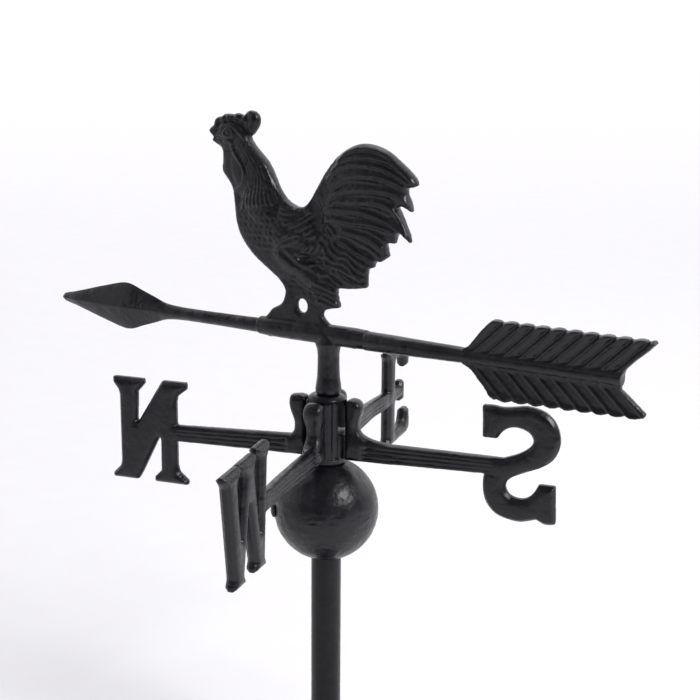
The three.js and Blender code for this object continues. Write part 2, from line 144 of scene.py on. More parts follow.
def stretched(tree, value, low, high, to_low=0.0, to_high=1.0):
    """A value's stretch from low to high, brought to another range and held there."""
    node = add_node(
        tree,
        "ShaderNodeMapRange",
        {"Value": value, "From Min": low, "From Max": high, "To Min": to_low, "To Max": to_high},
    )
    return node.outputs["Result"]


def painted_cast_iron():
    """Sand-cast iron under brushed black enamel: a fine sandy grain and soft lumps break up its
    semi-gloss, the hollows hold a little dull brown dust, and the high edges are rubbed grey."""
    material, tree = new_material("painted_cast_iron")
    place = add_node(tree, "ShaderNodeTexCoord").outputs["Object"]
    grain = add_node(
        tree, "ShaderNodeTexNoise", {"Vector": place, "Scale": per_metre(1.6), "Detail": 3, "Roughness": 0.6}
    ).outputs["Fac"]
    lumps = add_node(
        tree, "ShaderNodeTexNoise", {"Vector": place, "Scale": per_metre(9), "Detail": 2, "Roughness": 0.5}
    ).outputs["Fac"]
    pits = add_node(
        tree, "ShaderNodeTexVoronoi", {"Vector": place, "Scale": per_metre(4.5), "Randomness": 1}
    ).outputs["Distance"]
    edge = add_node(tree, "ShaderNodeNewGeometry").outputs["Pointiness"]
    hollow = stretched(tree, edge, 0.49, 0.42)
    rubbed = stretched(tree, edge, 0.53, 0.62, 0, 0.5)
    enamel = blend_colours(tree, stretched(tree, lumps, 0.35, 0.65), linear("#121217"), linear("#1c1a20"))
    dusty = blend_colours(tree, stretched(tree, hollow, 0, 1, 0, 0.5), enamel, linear("#2a2420"))
    worn = blend_colours(tree, rubbed, dusty, linear("#4c4a4e"))
    roughness = stretched(tree, lumps, 0.3, 0.7, 0.26, 0.4)
    sand = add_node(
        tree, "ShaderNodeBump", {"Height": grain, "Strength": 0.7, "Distance": 0.16 * MM}
    ).outputs["Normal"]
    pitted = add_node(
        tree,
        "ShaderNodeBump",
        {"Height": stretched(tree, pits, 0.05, 0.3), "Strength": 0.35, "Distance": 0.1 * MM, "Normal": sand},
    ).outputs["Normal"]
    rolling = add_node(
        tree, "ShaderNodeBump", {"Height": lumps, "Strength": 0.7, "Distance": 1.3 * MM, "Normal": pitted}
    ).outputs["Normal"]
    shader = add_node(
        tree,
        "ShaderNodeBsdfPrincipled",
        {"Base Color": worn, "Roughness": roughness, "Normal": rolling, "IOR": 1.45},
    )
    add_node(tree, "ShaderNodeOutputMaterial", {"Surface": shader.outputs["BSDF"]})
    return material


def painted_steel_bar():
    """Drawn steel bar under the same black enamel: smoother than the castings, with faint lines
    along its length from the brush."""
    material, tree = new_material("painted_steel_bar")
    place = add_node(tree, "ShaderNodeTexCoord").outputs["Object"]
    along = add_node(tree, "ShaderNodeMapping", {"Vector": place, "Scale": (1, 1, 0.03)}).outputs["Vector"]
    lines = add_node(
        tree, "ShaderNodeTexNoise", {"Vector": along, "Scale": per_metre(1.5), "Detail": 2}
    ).outputs["Fac"]
    dapple = add_node(
        tree, "ShaderNodeTexNoise", {"Vector": place, "Scale": per_metre(6), "Detail": 3}
    ).outputs["Fac"]
    colour = blend_colours(tree, stretched(tree, dapple, 0.35, 0.65), linear("#121216"), linear("#1c1b20"))
    normal = add_node(
        tree, "ShaderNodeBump", {"Height": lines, "Strength": 0.35, "Distance": 0.08 * MM}
    ).outputs["Normal"]
    normal = add_node(
        tree, "ShaderNodeBump", {"Height": dapple, "Strength": 0.3, "Distance": 0.15 * MM, "Normal": normal}
    ).outputs["Normal"]
    shader = add_node(
        tree,
        "ShaderNodeBsdfPrincipled",
        {
            "Base Color": colour,
            "Roughness": stretched(tree, dapple, 0.3, 0.7, 0.26, 0.38),
            "Normal": normal,
            "IOR": 1.45,
            "Specular IOR Level": 0.3,
        },
    )
    add_node(tree, "ShaderNodeOutputMaterial", {"Surface": shader.outputs["BSDF"]})
    return material


def blacked_screw_steel():
    """Turned screw steel, chemically blacked: darker and more metallic than the enamel, with
    faint rubbed patches where a driver has touched it."""
    material, tree = new_material("blacked_screw_steel")
    place = add_node(tree, "ShaderNodeTexCoord").outputs["Object"]
    patches = add_node(
        tree, "ShaderNodeTexNoise", {"Vector": place, "Scale": per_metre(2.5), "Detail": 3}
    ).outputs["Fac"]
    colour = blend_colours(tree, stretched(tree, patches, 0.4, 0.7), linear("#2c2b2e"), linear("#55534f"))
    normal = add_node(
        tree, "ShaderNodeBump", {"Height": patches, "Strength": 0.3, "Distance": 0.05 * MM}
    ).outputs["Normal"]
    shader = add_node(
        tree,
        "ShaderNodeBsdfPrincipled",
        {
            "Base Color": colour,
            "Metallic": 1.0,
            "Roughness": stretched(tree, patches, 0.3, 0.7, 0.34, 0.5),
            "Normal": normal,
        },
    )
    add_node(tree, "ShaderNodeOutputMaterial", {"Surface": shader.outputs["BSDF"]})
    return material


def polished_ball_steel():
    """Hardened bearing steel, ground and polished: bright, with a trace of grease haze."""
    material, tree = new_material("polished_ball_steel")
    place = add_node(tree, "ShaderNodeTexCoord").outputs["Object"]
    haze = add_node(
        tree, "ShaderNodeTexNoise", {"Vector": place, "Scale": per_metre(1.5), "Detail": 2}
    ).outputs["Fac"]
    colour = blend_colours(tree, haze, linear("#b9b8b6"), linear("#a8a6a0"))
    shader = add_node(
        tree,
        "ShaderNodeBsdfPrincipled",
        {"Base Color": colour, "Metallic": 1.0, "Roughness": stretched(tree, haze, 0.3, 0.7, 0.12, 0.25)},
    )
    add_node(tree, "ShaderNodeOutputMaterial", {"Surface": shader.outputs["BSDF"]})
    return material


def studio_paper():
    """Matt white studio paper."""
    material, tree = new_material("studio_paper")
    place = add_node(tree, "ShaderNodeTexCoord").outputs["Object"]
    fibre = add_node(
        tree, "ShaderNodeTexNoise", {"Vector": place, "Scale": per_metre(40), "Detail": 2}
    ).outputs["Fac"]
    colour = blend_colours(tree, fibre, linear("#f3f1f5"), linear("#f6f5f8"))
    shader = add_node(tree, "ShaderNodeBsdfPrincipled", {"Base Color": colour, "Roughness": 0.9})
    add_node(tree, "ShaderNodeOutputMaterial", {"Surface": shader.outputs["BSDF"]})
    return material


IRON = painted_cast_iron()
BAR = painted_steel_bar()
SCREW = blacked_screw_steel()
BALL_STEEL = polished_ball_steel()

# Shaping: every shape is made in millimetres and scaled when it is placed

BLANK_HALF = 3  # half the thickness of each flat blank before its relief is pushed out
CASTING_GRAIN = 0.6  # spacing of the points on a casting's skin
ROOSTER_GRAIN = 0.68  # the same on the finished rooster
HUB_GRAIN = 0.45
ALL_SMOOTH = 180  # an angle that no edge reaches, so none looks sharp


def smooth_path(points, closed=False, steps=5):
    """A smooth curve through the points. A point with a third value, True, stays a sharp corner."""
    count = len(points)
    places = [Vector(point[:2]) for point in points]
    sharp = [len(point) > 2 for point in points]
    path = []
    for i in range(count if closed else count - 1):
        here, there = places[i], places[(i + 1) % count]
        before = places[i - 1] if closed or i else here
        after = places[(i + 2) % count] if closed or i + 2 < count else there
        leave = Vector((0, 0)) if sharp[i] else (there - before) / 2
        arrive = Vector((0, 0)) if sharp[(i + 1) % count] else (after - here) / 2
        leave = leave or (there - here) / 2
        arrive = arrive or (there - here) / 2
        for step in range(steps):
            t = step / steps
            path.append(
                here * (2 * t**3 - 3 * t**2 + 1)
                + leave * (t**3 - 2 * t**2 + t)
                + there * (3 * t**2 - 2 * t**3)
                + arrive * (t**3 - t**2)
            )
    if not closed:
        path.append(places[-1])
    return path


def slab(bm, outline, half, holes=()):
    """An upright plate on the XZ plane, with its outline and holes, this far to each side."""
    edges = []
    for loop in (outline, *holes):
        corners = [bm.verts.new((x, half, z)) for x, z in loop]
        edges += [bm.edges.new((corners[i - 1], corners[i])) for i in range(len(corners))]
    filled = bmesh.ops.triangle_fill(bm, use_beauty=True, use_dissolve=False, edges=edges)
    faces = [g for g in filled["geom"] if isinstance(g, bmesh.types.BMFace)]
    raised = bmesh.ops.extrude_face_region(bm, geom=faces)
    moved = [g for g in raised["geom"] if isinstance(g, bmesh.types.BMVert)]
    bmesh.ops.translate(bm, verts=moved, vec=(0, -2 * half, 0))


def prism(bm, plan, low, high):
    """A plan outline raised from one height to another."""
    corners = [bm.verts.new((x, y, low)) for x, y in plan]
    edges = [bm.edges.new((corners[i - 1], corners[i])) for i in range(len(corners))]
    filled = bmesh.ops.triangle_fill(bm, use_beauty=True, use_dissolve=False, edges=edges)
    faces = [g for g in filled["geom"] if isinstance(g, bmesh.types.BMFace)]
    raised = bmesh.ops.extrude_face_region(bm, geom=faces)
    moved = [g for g in raised["geom"] if isinstance(g, bmesh.types.BMVert)]
    bmesh.ops.translate(bm, verts=moved, vec=(0, 0, high - low))


def lofted(bm, rings):
    """A closed skin through rings of points, with a face over each end."""
    loops = [[bm.verts.new(point) for point in ring] for ring in rings]
    for one, two in zip(loops, loops[1:]):
        for i in range(len(one)):
            bm.faces.new((one[i - 1], one[i], two[i], two[i - 1]))
    bm.faces.new(loops[0])
    bm.faces.new(reversed(loops[-1]))


def turned(bm, profile, steps=64, matrix=None):
    """A profile of (radius, height) turned about Z. It starts and ends on the axis, or closes."""
    closed = abs(profile[0][0]) > 1e-6
    corners = [bm.verts.new((radius, 0, height)) for radius, height in profile]
    pairs = zip(corners, corners[1:] + corners[:1] if closed else corners[1:])
    edges = [bm.edges.new(pair) for pair in pairs]
    spun = bmesh.ops.spin(
        bm,
        geom=corners + edges,
        cent=(0, 0, 0),
        axis=(0, 0, 1),
        angle=2 * math.pi,
        steps=steps,
        use_merge=True,
        use_normal_flip=False,
        use_duplicate=False,
    )
    made = {v for v in corners + spun["geom_last"] if isinstance(v, bmesh.types.BMVert) and v.is_valid}
    unvisited = list(made)
    while unvisited:
        vertex = unvisited.pop()
        for edge in vertex.link_edges:
            other = edge.other_vert(vertex)
            if other not in made:
                made.add(other)
                unvisited.append(other)
    made = list(made)
    bmesh.ops.remove_doubles(bm, verts=made, dist=1e-4)
    if matrix is not None:
        bmesh.ops.transform(bm, matrix=matrix, verts=[v for v in made if v.is_valid])


def along_arrow(bm, profile, steps=32):
    """A profile of (radius, distance) turned about the arrow's axis, which is X here."""
    turned(bm, profile, steps, Matrix.Rotation(math.pi / 2, 4, "Y"))


def finished(name, node, bm, place, material, smooth_angle, body="mast"):
    """Turns a shape in millimetres into a piece in its place, with its faces outwards, that stands
    for a node. Edges turned by more than the angle look sharp."""
    bmesh.ops.remove_doubles(bm, verts=bm.verts, dist=1e-4)
    bmesh.ops.recalc_face_normals(bm, faces=bm.faces)
    bmesh.ops.transform(bm, matrix=Matrix.Scale(MM, 4) @ place, verts=bm.verts)
    mesh = bpy.data.meshes.new(name)
    bm.to_mesh(mesh)
    bm.free()
    mesh.materials.append(material)
    mesh.shade_smooth()
    piece = bpy.data.objects.new(name, mesh)
    scene.collection.objects.link(piece)
    if smooth_angle < ALL_SMOOTH:
        mesh.set_sharp_from_angle(angle=math.radians(smooth_angle))
    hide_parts(node)
    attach(piece, body)


def fused(bm, grain, rounds=2):
    """Fuses overlapping closed shapes into one casting with an even mesh and soft inner corners."""
    mesh = bpy.data.meshes.new("mould")
    bmesh.ops.recalc_face_normals(bm, faces=bm.faces)
    bm.to_mesh(mesh)
    bm.free()
    mould = bpy.data.objects.new("mould", mesh)
    scene.collection.objects.link(mould)
    remesh = mould.modifiers.new("fuse", "REMESH")
    remesh.mode = "VOXEL"
    remesh.voxel_size = grain
    cast = mould.evaluated_get(bpy.context.evaluated_depsgraph_get()).to_mesh()
    result = bmesh.new()
    result.from_mesh(cast)
    mould.to_mesh_clear()
    bpy.data.objects.remove(mould)
    bpy.data.meshes.remove(mesh)
    for _ in range(rounds):
        bmesh.ops.smooth_vert(
            result, verts=result.verts, factor=0.5, use_axis_x=True, use_axis_y=True, use_axis_z=True
        )
    return result


def cut_from(bm, tool):
    """A shape less another one."""
    objects = []
    for shape in (bm, tool):
        bmesh.ops.recalc_face_normals(shape, faces=shape.faces)
        mesh = bpy.data.meshes.new("stock")
        shape.to_mesh(mesh)
        shape.free()
        objects.append(bpy.data.objects.new("stock", mesh))
        scene.collection.objects.link(objects[-1])
    boolean = objects[0].modifiers.new("cut", "BOOLEAN")
    boolean.operation = "DIFFERENCE"
    boolean.solver = "EXACT"
    boolean.object = objects[1]
    left = objects[0].evaluated_get(bpy.context.evaluated_depsgraph_get()).to_mesh()
    result = bmesh.new()
    result.from_mesh(left)
    objects[0].to_mesh_clear()
    for item in objects:
        mesh = item.data
        bpy.data.objects.remove(item)
        bpy.data.meshes.remove(mesh)
    return result


# Relief: the faces of a flat casting are pushed out sideways by a function of the place


def rise(values, low, high):
    """0 below low, 1 above high and a smooth step between."""
    t = np.clip((values - low) / (high - low), 0, 1)
    return t * t * (3 - 2 * t)


def mound(x, z, centre, radii, turn=0.0):
    """A smooth dome of height 1 over an ellipse."""
    a = math.radians(turn)
    dx, dz = x - centre[0], z - centre[1]
    u = (dx * math.cos(a) + dz * math.sin(a)) / radii[0]
    v = (dz * math.cos(a) - dx * math.sin(a)) / radii[1]
    return np.clip(1 - u * u - v * v, 0, 1) ** 0.8


def from_path(x, z, path, reach):
    """Distance of each place from a path, up to a reach."""
    nearest = np.full(x.shape, float(reach))
    ends = np.array([tuple(point) for point in path])
    low, high = ends.min(0) - reach, ends.max(0) + reach
    close = np.flatnonzero((x > low[0]) & (x < high[0]) & (z > low[1]) & (z < high[1]))
    if not len(close):
        return nearest
    px, pz = x[close], z[close]
    best = np.full(px.shape, float(reach))
    for (ax, az), (bx, bz) in zip(ends[:-1], ends[1:]):
        dx, dz = bx - ax, bz - az
        t = np.clip(((px - ax) * dx + (pz - az) * dz) / max(dx * dx + dz * dz, 1e-9), 0, 1)
        best = np.minimum(best, np.hypot(px - ax - t * dx, pz - az - t * dz))
    nearest[close] = best
    return nearest


def ribs(x, z, strokes, width, steps=5):
    """Rounded ribs of height 1 along strokes, which fade to nothing over about twice their width."""
    total = np.zeros_like(x)
    for stroke in strokes:
        away = from_path(x, z, smooth_path(stroke, steps=steps), 3 * width)
        total = np.maximum(total, np.exp(-((away / width) ** 2)))
    return total


def sculpt(bm, half, thickness, offset=None):
    """Scales each point's distance from the middle plane so that the plate's faces stand at
    thickness(x, z, edge), where edge is the distance from the plate's own outline, and shifts it
    sideways by offset(x)."""
    bm.normal_update()
    points = np.array([tuple(v.co) for v in bm.verts])
    lateral = np.array([abs(v.normal.y) for v in bm.verts])
    walls = np.flatnonzero(lateral < 0.5)
    tree = kdtree.KDTree(len(walls))
    for i in walls:
        tree.insert((points[i, 0], 0, points[i, 2]), int(i))
    tree.balance()
    edge = np.array([tree.find((x, 0, z))[2] for x, _, z in points])
    edge[walls] = 0
    new_half = thickness(points[:, 0], points[:, 2], edge)
    lateral_now = points[:, 1] / half * new_half
    if offset is not None:
        lateral_now = lateral_now + offset(points[:, 0])
    for vertex, y in zip(bm.verts, lateral_now):
        vertex.co.y = y


def pillow(edge, width, rim):
    """1 inside, falling in a quarter round to rim at the outline."""
    t = 1 - np.clip(edge / width, 0, 1)
    return rim + (1 - rim) * np.sqrt(np.clip(1 - t * t, 0, 1))


ARROW_PLACE = Matrix.Translation((0, 0, ARROW_HEIGHT)) @ Matrix.Rotation(math.radians(HEADING), 4, "Z")


def arm_place(angle):
    return Matrix.Translation((0, 0, ARM_HEIGHT)) @ Matrix.Rotation(math.radians(angle), 4, "Z")


# The rooster: x runs along the arrow towards the tail, z is the height above the arrow's axis

ROOSTER_OUTLINE = [
    # beak and comb
    (-90.3, 125.3), (-88.6, 128.2), (-86.2, 129.8, True), (-85.6, 133), (-83, 135), (-79.8, 135.7),
    (-78, 137), (-74.5, 137.5), (-71.5, 137.2), (-68, 138.2), (-65, 137.7), (-62.8, 137), (-60, 139.6),
    (-57.2, 140.4), (-53.2, 139), (-51.1, 134.5), (-52.4, 129.5), (-56, 125), (-59.2, 122.2, True),
    # nape, saddle and front of the tail
    (-52, 114.6), (-45.5, 108), (-40, 98.6), (-35, 89.8), (-30, 84.3), (-21, 81), (-14.5, 83.8),
    (-7, 95), (0, 106.2), (9, 116.3), (20, 122.9), (30, 124.3), (41, 121.6), (51, 115), (61, 107),
    (64.5, 101.2, True),
    # tips of the tail feathers
    (61, 99.6), (57, 98.8), (58, 93), (61.4, 84, True), (57, 86.3), (53, 87.6), (50.4, 86, True),
    (55, 78), (60.2, 67), (59.4, 65.2, True), (55.5, 69), (52, 71.4), (50.2, 69), (49.6, 63.8, True),
    (44, 63.9), (43.2, 60), (45, 55.4, True), (41, 52.6), (38.6, 51.1, True), (35.4, 51.6),
    (34.6, 47.4, True),
    (30.3, 45.6), (29.8, 40), (29.4, 33.8, True), (20, 32.1), (8.3, 31.2, True), (7.3, 27),
    (9.6, 18.6, True),
    (3, 17.2), (-2, 15.4), (-2.8, 11), (2.5, 6.2), (4, 4.5, True),
    # under the boss and up the front of the legs
    (4, 0, True), (-50, 0, True), (-50.5, 4.6, True), (-46, 7.5), (-41.5, 12.6), (-35, 16.4), (-32, 22),
    (-32.6, 28.5), (-41, 36.5), (-55, 47), (-65, 58.5), (-69.5, 70), (-71, 82), (-72.6, 91), (-77, 96.6),
    (-79.8, 100.5), (-79.4, 111), (-80.5, 115.2), (-84.5, 117.5), (-88.3, 119.6, True), (-86.6, 122, True),
]
LEG_GAP = ((-18.6, 16.9), (4.1, 4.7))  # middle and radii
# The boss that the rooster stands on, along the arrow
BOSS_FRONT = -52
BOSS_REAR = 30

# Long tail feathers, from the root on the body to the tip
TAIL_QUILLS = [
    [(8, 113), (15, 119.5), (27, 122), (39, 119.5), (50, 112.5), (59, 105)],
    [(3, 106), (12, 113.5), (24, 116.5), (36, 115.8), (46, 113), (54, 108), (60, 103)],
    [(0, 101), (7, 108), (16, 111.2), (28, 111.6), (40, 110), (51, 105.5), (57, 102)],
    [(0.5, 95.5), (4, 101), (9, 105), (18, 108), (29, 108.4), (40, 107)],
    [(3.5, 96), (8, 100.8), (14, 104), (28, 105.4), (40, 104.3), (50, 101.3), (56, 97), (59.5, 88)],
    [(1, 91), (5, 96), (10, 99.4), (16, 101.2), (27, 101.4), (40, 100.4)],
    [(1, 87), (6, 92), (12, 94.8), (23, 96.3), (38, 96.7), (47, 95.2), (54, 92.2), (58.5, 87)],
    [(5, 88.5), (12, 91), (22, 92.6), (34, 93), (44, 91.5)],
    [(-1, 84), (7, 86.8), (15, 88), (27, 88.9), (36, 89), (45, 86.4), (52, 80), (57.5, 70)],
    [(-3, 82.5), (5, 84.6), (14, 85.4), (26, 85.6), (36, 84.6), (44, 82)],
    [(-4, 80.5), (4, 82.3), (17, 82.6), (28, 81.8), (38, 79), (47, 75.5), (54.5, 69.5)],
    [(-3, 78), (2, 79.6), (9, 79.2), (19, 78.8), (29, 77.8), (38, 75.8)],
    [(-4, 75), (5, 76), (17, 75), (30, 75), (40, 73.4), (47, 71), (49.6, 66.5)],
    [(2, 73), (11, 72.6), (20, 71.6), (29, 70.6), (37, 67.6), (42, 64.6)],
    [(11, 69.5), (20, 68.2), (29, 66.4), (36, 62.6), (40.5, 59.5), (43.6, 55.5)],
    [(8, 66), (15, 65.4), (23, 62.4), (31, 59), (38, 54)],
    [(9, 62.5), (14, 60.5), (20, 57), (28, 54), (35, 49.5)],
]
MAIN_QUILLS = [TAIL_QUILLS[i] for i in (0, 1, 2, 4, 6, 8, 10, 12, 14, 16)]
# Shorter feathers that cover the roots and hang below the wing
COVERT_QUILLS = [
    [(-5, 73.5), (-1, 72.3), (3, 69), (5, 66)],
    [(-6, 69), (-2, 68.4), (1.4, 65.6), (2.6, 62)],
    [(4, 65), (4, 60.5), (7, 57), (12, 55.5)],
    [(-6, 64), (-3.4, 62.6), (-1.6, 59.6)],
    [(-1, 62), (0.5, 57.5), (4, 54), (9, 52)],
    [(-7, 59.4), (-4.4, 57), (-2.6, 54)],
    [(-6, 51), (-1, 51.5), (3, 48.5)],
    [(10, 52.5), (14.5, 51.5), (18, 48), (22, 45), (28, 43.5)],
    [(13, 56), (18, 52.6), (24, 49.6), (31, 46.6)],
    [(4, 48), (10, 48.6), (15, 46), (19, 42), (25, 40)],
    [(-3, 46.5), (3, 45.6), (10, 44), (16, 41.5), (24, 38.5)],
    [(2, 41.8), (8, 40.5), (14, 36.8), (20, 34.5)],
    [(7, 42.6), (13, 40), (19, 36.8), (26, 35.2)],
    [(-6, 39.5), (-1, 40), (4, 36.8), (9, 33.8)],
    [(-5, 36), (1, 34.6), (6, 31.6)],
    [(-9, 33.6), (-3, 31.8), (3, 29.3), (7, 26.5)],
    [(-12, 30.2), (-4, 28.4), (3, 26), (7, 23.4)],
    [(-11, 26), (-3, 24.5), (4, 22), (8.6, 19.8)],
    [(-9, 21.8), (-2, 20.5), (5, 18.4)],
]
SADDLE_HACKLES = [
    [(-35, 80.6), (-30, 79.6), (-25, 79)],
    [(-35, 77.4), (-30, 77), (-24, 77.6), (-18, 80.6)],
    [(-34, 74), (-28, 73.8), (-22, 76), (-16, 79.6)],
    [(-32, 70.5), (-27, 72), (-20, 75.4), (-14, 79.2)],
    [(-27, 68.6), (-22, 71), (-16.6, 74.6), (-12, 78.6)],
    [(-22, 67), (-17, 69.6), (-12.6, 73.4), (-9.6, 77.4)],
    [(-17, 65), (-13, 67.6), (-9.8, 71.4), (-7.6, 75.4)],
    [(-13, 62.6), (-9.8, 65.4), (-7, 69.4), (-5.4, 73)],
]
WING_STROKES = [
    [(-38, 58), (-33, 59.8), (-28, 62.4), (-22, 64)],
    [(-31, 57.2), (-26.5, 58.6), (-22.6, 60.8)],
    [(-37, 54.4), (-33.6, 56.6), (-30, 57)],
    [(-22.5, 52.4), (-18.6, 53.4), (-16, 56.6)],
    [(-18, 52.2), (-14.4, 53.8), (-12.4, 58)],
    [(-13.4, 52), (-10.4, 54), (-8.6, 58)],
    [(-9.2, 50.8), (-6.4, 53), (-5, 56.6)],
    [(-16.4, 48.4), (-11, 49.4), (-7, 48)],
    [(-13, 45.4), (-8, 46), (-4.4, 44)],
]
# Swellings and hollows of the whole form: height, middle, radii and turn
SWELLINGS = [
    (4.2, (-42, 62), (33, 27), -28),  # breast
    (2.6, (-56, 96), (16, 30), 24),  # neck
    (1.6, (-74, 123), (13, 9), 0),  # head
    (3.4, (-19, 41), (25, 9.5), -31),  # thigh
    (1.4, (-26, 62), (22, 12), -8),  # wing
    (1.4, (26, 90), (40, 38), 0),  # fan of the tail
    (1.3, (-72, 101), (9, 14), 8),  # wattle
    (-3.0, (-9.5, 76), (6.5, 14), 14),  # hollow at the root of the tail
    (-2.6, (-17, 48.6), (5.5, 3.4), -20),  # hollow under the wing
]
THIGH_CREASE = [(-34, 54), (-25, 46.4), (-15, 41), (-7, 37), (2, 32)]
BROW = [(-82.5, 127.6), (-80, 130), (-76, 130.6), (-71.5, 129), (-67, 125.6), (-63, 122), (-61, 119.6)]
COMB_CREASE = [(-84.5, 131.4), (-79, 133), (-72, 133), (-66, 130.6), (-62, 126), (-59.5, 122.5)]
COMB_LUMPS = [
    ((-82, 134.4), (2.4, 1.6)), ((-76.4, 135.6), (3.2, 1.8)), ((-70, 135.6), (3.2, 2)),
    ((-65.4, 134), (2.4, 2.6)), ((-57.4, 134.6), (4.4, 4.6)), ((-60, 128.6), (2.8, 3.4)),
]
COMB_NOTCHES = [
    [(-79.6, 137), (-79.8, 133)],
    [(-73.2, 138.5), (-73.4, 133.6)],
    [(-67.6, 138.5), (-67.6, 133)],
    [(-62.8, 138.4), (-62.4, 130), (-60.6, 125)],
]
EYE = (-76.6, 125.8)
EYE_SOCKET = [
    (-80.2, 124.6), (-78.6, 127.4), (-75, 128), (-72.6, 125.8), (-74.4, 123.6), (-78, 123.2),
    (-80.2, 124.6),
]
EAR = [(-79, 119.6), (-76.5, 120.4), (-74.2, 119.4), (-73.6, 117)]
GAPE = [(-88.4, 121.6), (-85.4, 122.6), (-82, 121.8)]
NOSTRIL = [(-86, 126.4), (-84.4, 127.2)]
WATTLE_RIM = [
    (-73.6, 116), (-71.4, 112.6), (-68, 109), (-65, 105.4), (-63.4, 101.4), (-63.2, 97), (-64.8, 93),
    (-68.4, 90), (-72, 88.6),
]
NECK_FRONT = [(-69, 116), (-65.6, 108.6), (-62.6, 103), (-61.6, 97), (-64.4, 90), (-67.4, 84), (-69, 77)]
NECK_REAR = [
    (-59, 121), (-53.4, 115.4), (-47.6, 109.6), (-42.4, 102.6), (-38.4, 95.6), (-35, 89), (-31, 84.6),
]
# Lines on the head and the thigh: height, strokes and width
LINES = [
    (-0.9, [THIGH_CREASE], 1.8), (-1.0, [COMB_CREASE], 1.2), (1.1, [BROW], 1.0), (0.8, [EAR], 1.1),
    (1.2, [WATTLE_RIM], 1.0), (1.1, [EYE_SOCKET], 0.7), (-1.1, [GAPE, NOSTRIL], 0.7),
    (-0.8, COMB_NOTCHES, 0.8),
]


def neck_hackles():
    """Narrow feathers that run from the head down the neck in three overlapping tiers."""
    front, rear = smooth_path(NECK_FRONT, steps=6), smooth_path(NECK_REAR, steps=6)
    last = len(front) - 1
    strokes = []
    for tier, (start, end) in enumerate(((0.0, 0.42), (0.3, 0.72), (0.6, 1.0))):
        count = 6 + 2 * tier
        for i in range(count):
            t = (i + 0.5 + 0.25 * (tier % 2)) / count
            late = 0.05 * math.sin(2.7 * i + tier)
            path = []
            for k in range(5):
                u = start + late + (end - start) * k / 4
                at = max(0, min(last, round(u * last)))
                spread = 0.04 + 0.92 * t
                path.append(tuple(front[at].lerp(rear[at], spread)))
            strokes.append(path)
    return strokes


def breast_scales():
    """Small round scales in staggered rows, each a little arc."""
    arcs = []
    for row in range(6):
        for column in range(9):
            x = -69 + 4.4 * column + 2.2 * (row % 2) + 1.6 * row
            z = 75.5 - 4.1 * row
            turns = np.linspace(math.pi, 2 * math.pi, 7)
            arcs.append([(x + 2.1 * math.cos(a), z + 1.9 * math.sin(a)) for a in turns])
    return arcs


def sand_ripple(x, z):
    """An uneven surface left by the sand of the mould, between about -1 and 1."""
    return np.array([
        noise.noise((px * 0.55, 0, pz * 0.55)) + 0.6 * noise.noise((px * 1.1, 3, pz * 1.1))
        for px, pz in zip(x, z)
    ])


def rooster_thickness(x, z, edge):
    """Half the casting's thickness: a plate with a rounded rim that swells into the body, neck,
    thigh and head, cut and ridged by the feathers."""
    x = x - 3.2 + rise(x, -12, 12)  # the feathers sit further back on the body than on the tail
    form = 2.9
    for height, centre, radii, turn in SWELLINGS:
        form = form + height * mound(x, z, centre, radii, turn)
    for centre, radii in COMB_LUMPS:
        form += 0.8 * mound(x, z, centre, radii)
    for height, strokes, width in LINES:
        form += height * ribs(x, z, strokes, width)
    form += 1.2 * mound(x, z, EYE, (1.5, 1.2))
    form += np.maximum(1.9 * ribs(x, z, MAIN_QUILLS, 1.5), 0.6 * ribs(x, z, TAIL_QUILLS, 0.9))
    form += 1.35 * ribs(x, z, COVERT_QUILLS, 1.0) + 1.1 * ribs(x, z, SADDLE_HACKLES, 0.85)
    form += 1.3 * ribs(x, z, WING_STROKES, 0.95) + 0.85 * ribs(x, z, neck_hackles(), 0.9)
    lower_breast = rise(z + 0.35 * (x + 60), 52, 60) * rise(-x, 30, 40) * rise(z, 84, 78)
    form += 0.35 * lower_breast * ribs(x, z, breast_scales(), 0.9)
    plumage = rise(z, 15, 26) * rise(x, -70, -66)
    form += (0.08 + 0.2 * plumage) * sand_ripple(x, z)
    return np.maximum(form, 1.5) * pillow(edge, 3.0, 0.42)


def make_rooster():
    bm = bmesh.new()
    (gx, gz), (rx, rz) = LEG_GAP
    gap = [
        (gx + rx * math.cos(t), gz + rz * math.sin(t))
        for t in (2 * math.pi * i / 20 for i in range(20))
    ]
    slab(bm, [tuple(p) for p in smooth_path(ROOSTER_OUTLINE, closed=True)], BLANK_HALF, [gap])
    figure = fused(bm, CASTING_GRAIN, 2)
    sculpt(figure, BLANK_HALF, rooster_thickness)
    bmesh.ops.translate(figure, verts=figure.verts, vec=(0.6, 0, 0))
    along_arrow(figure, [
        (0, BOSS_FRONT), (5.2, BOSS_FRONT), (6, BOSS_FRONT + 1), (6.5, -44), (6.7, -30), (6.7, 20),
        (6.25, BOSS_REAR), (0, BOSS_REAR),
    ])
    socket = SOCKET_LOW
    turned(figure, [
        (0, socket), (7.5, socket), (8.3, socket + 0.8), (8.6, socket + 3), (8.2, socket + 6),
        (7.5, socket + 11), (7.2, socket + 18), (7.1, socket + 26), (7.6, socket + 30), (9, socket + 34),
        (6, 2), (0, 2),
    ], 40, Matrix.Translation((1.4, 0, 0)))
    whole = fused(figure, ROOSTER_GRAIN, 0)
    bore = bmesh.new()
    turned(bore, [(0, socket - 1), (4.4, socket - 1), (4.4, -1.2), (0, -1.2)], 32)
    whole = cut_from(whole, bore)
    finished("rooster_casting", "rooster", whole, ARROW_PLACE, IRON, ALL_SMOOTH, "vane")


make_rooster()

# The arrow's head and tail, in the same local frame as the rooster but with z = 0 on the arrow's axis

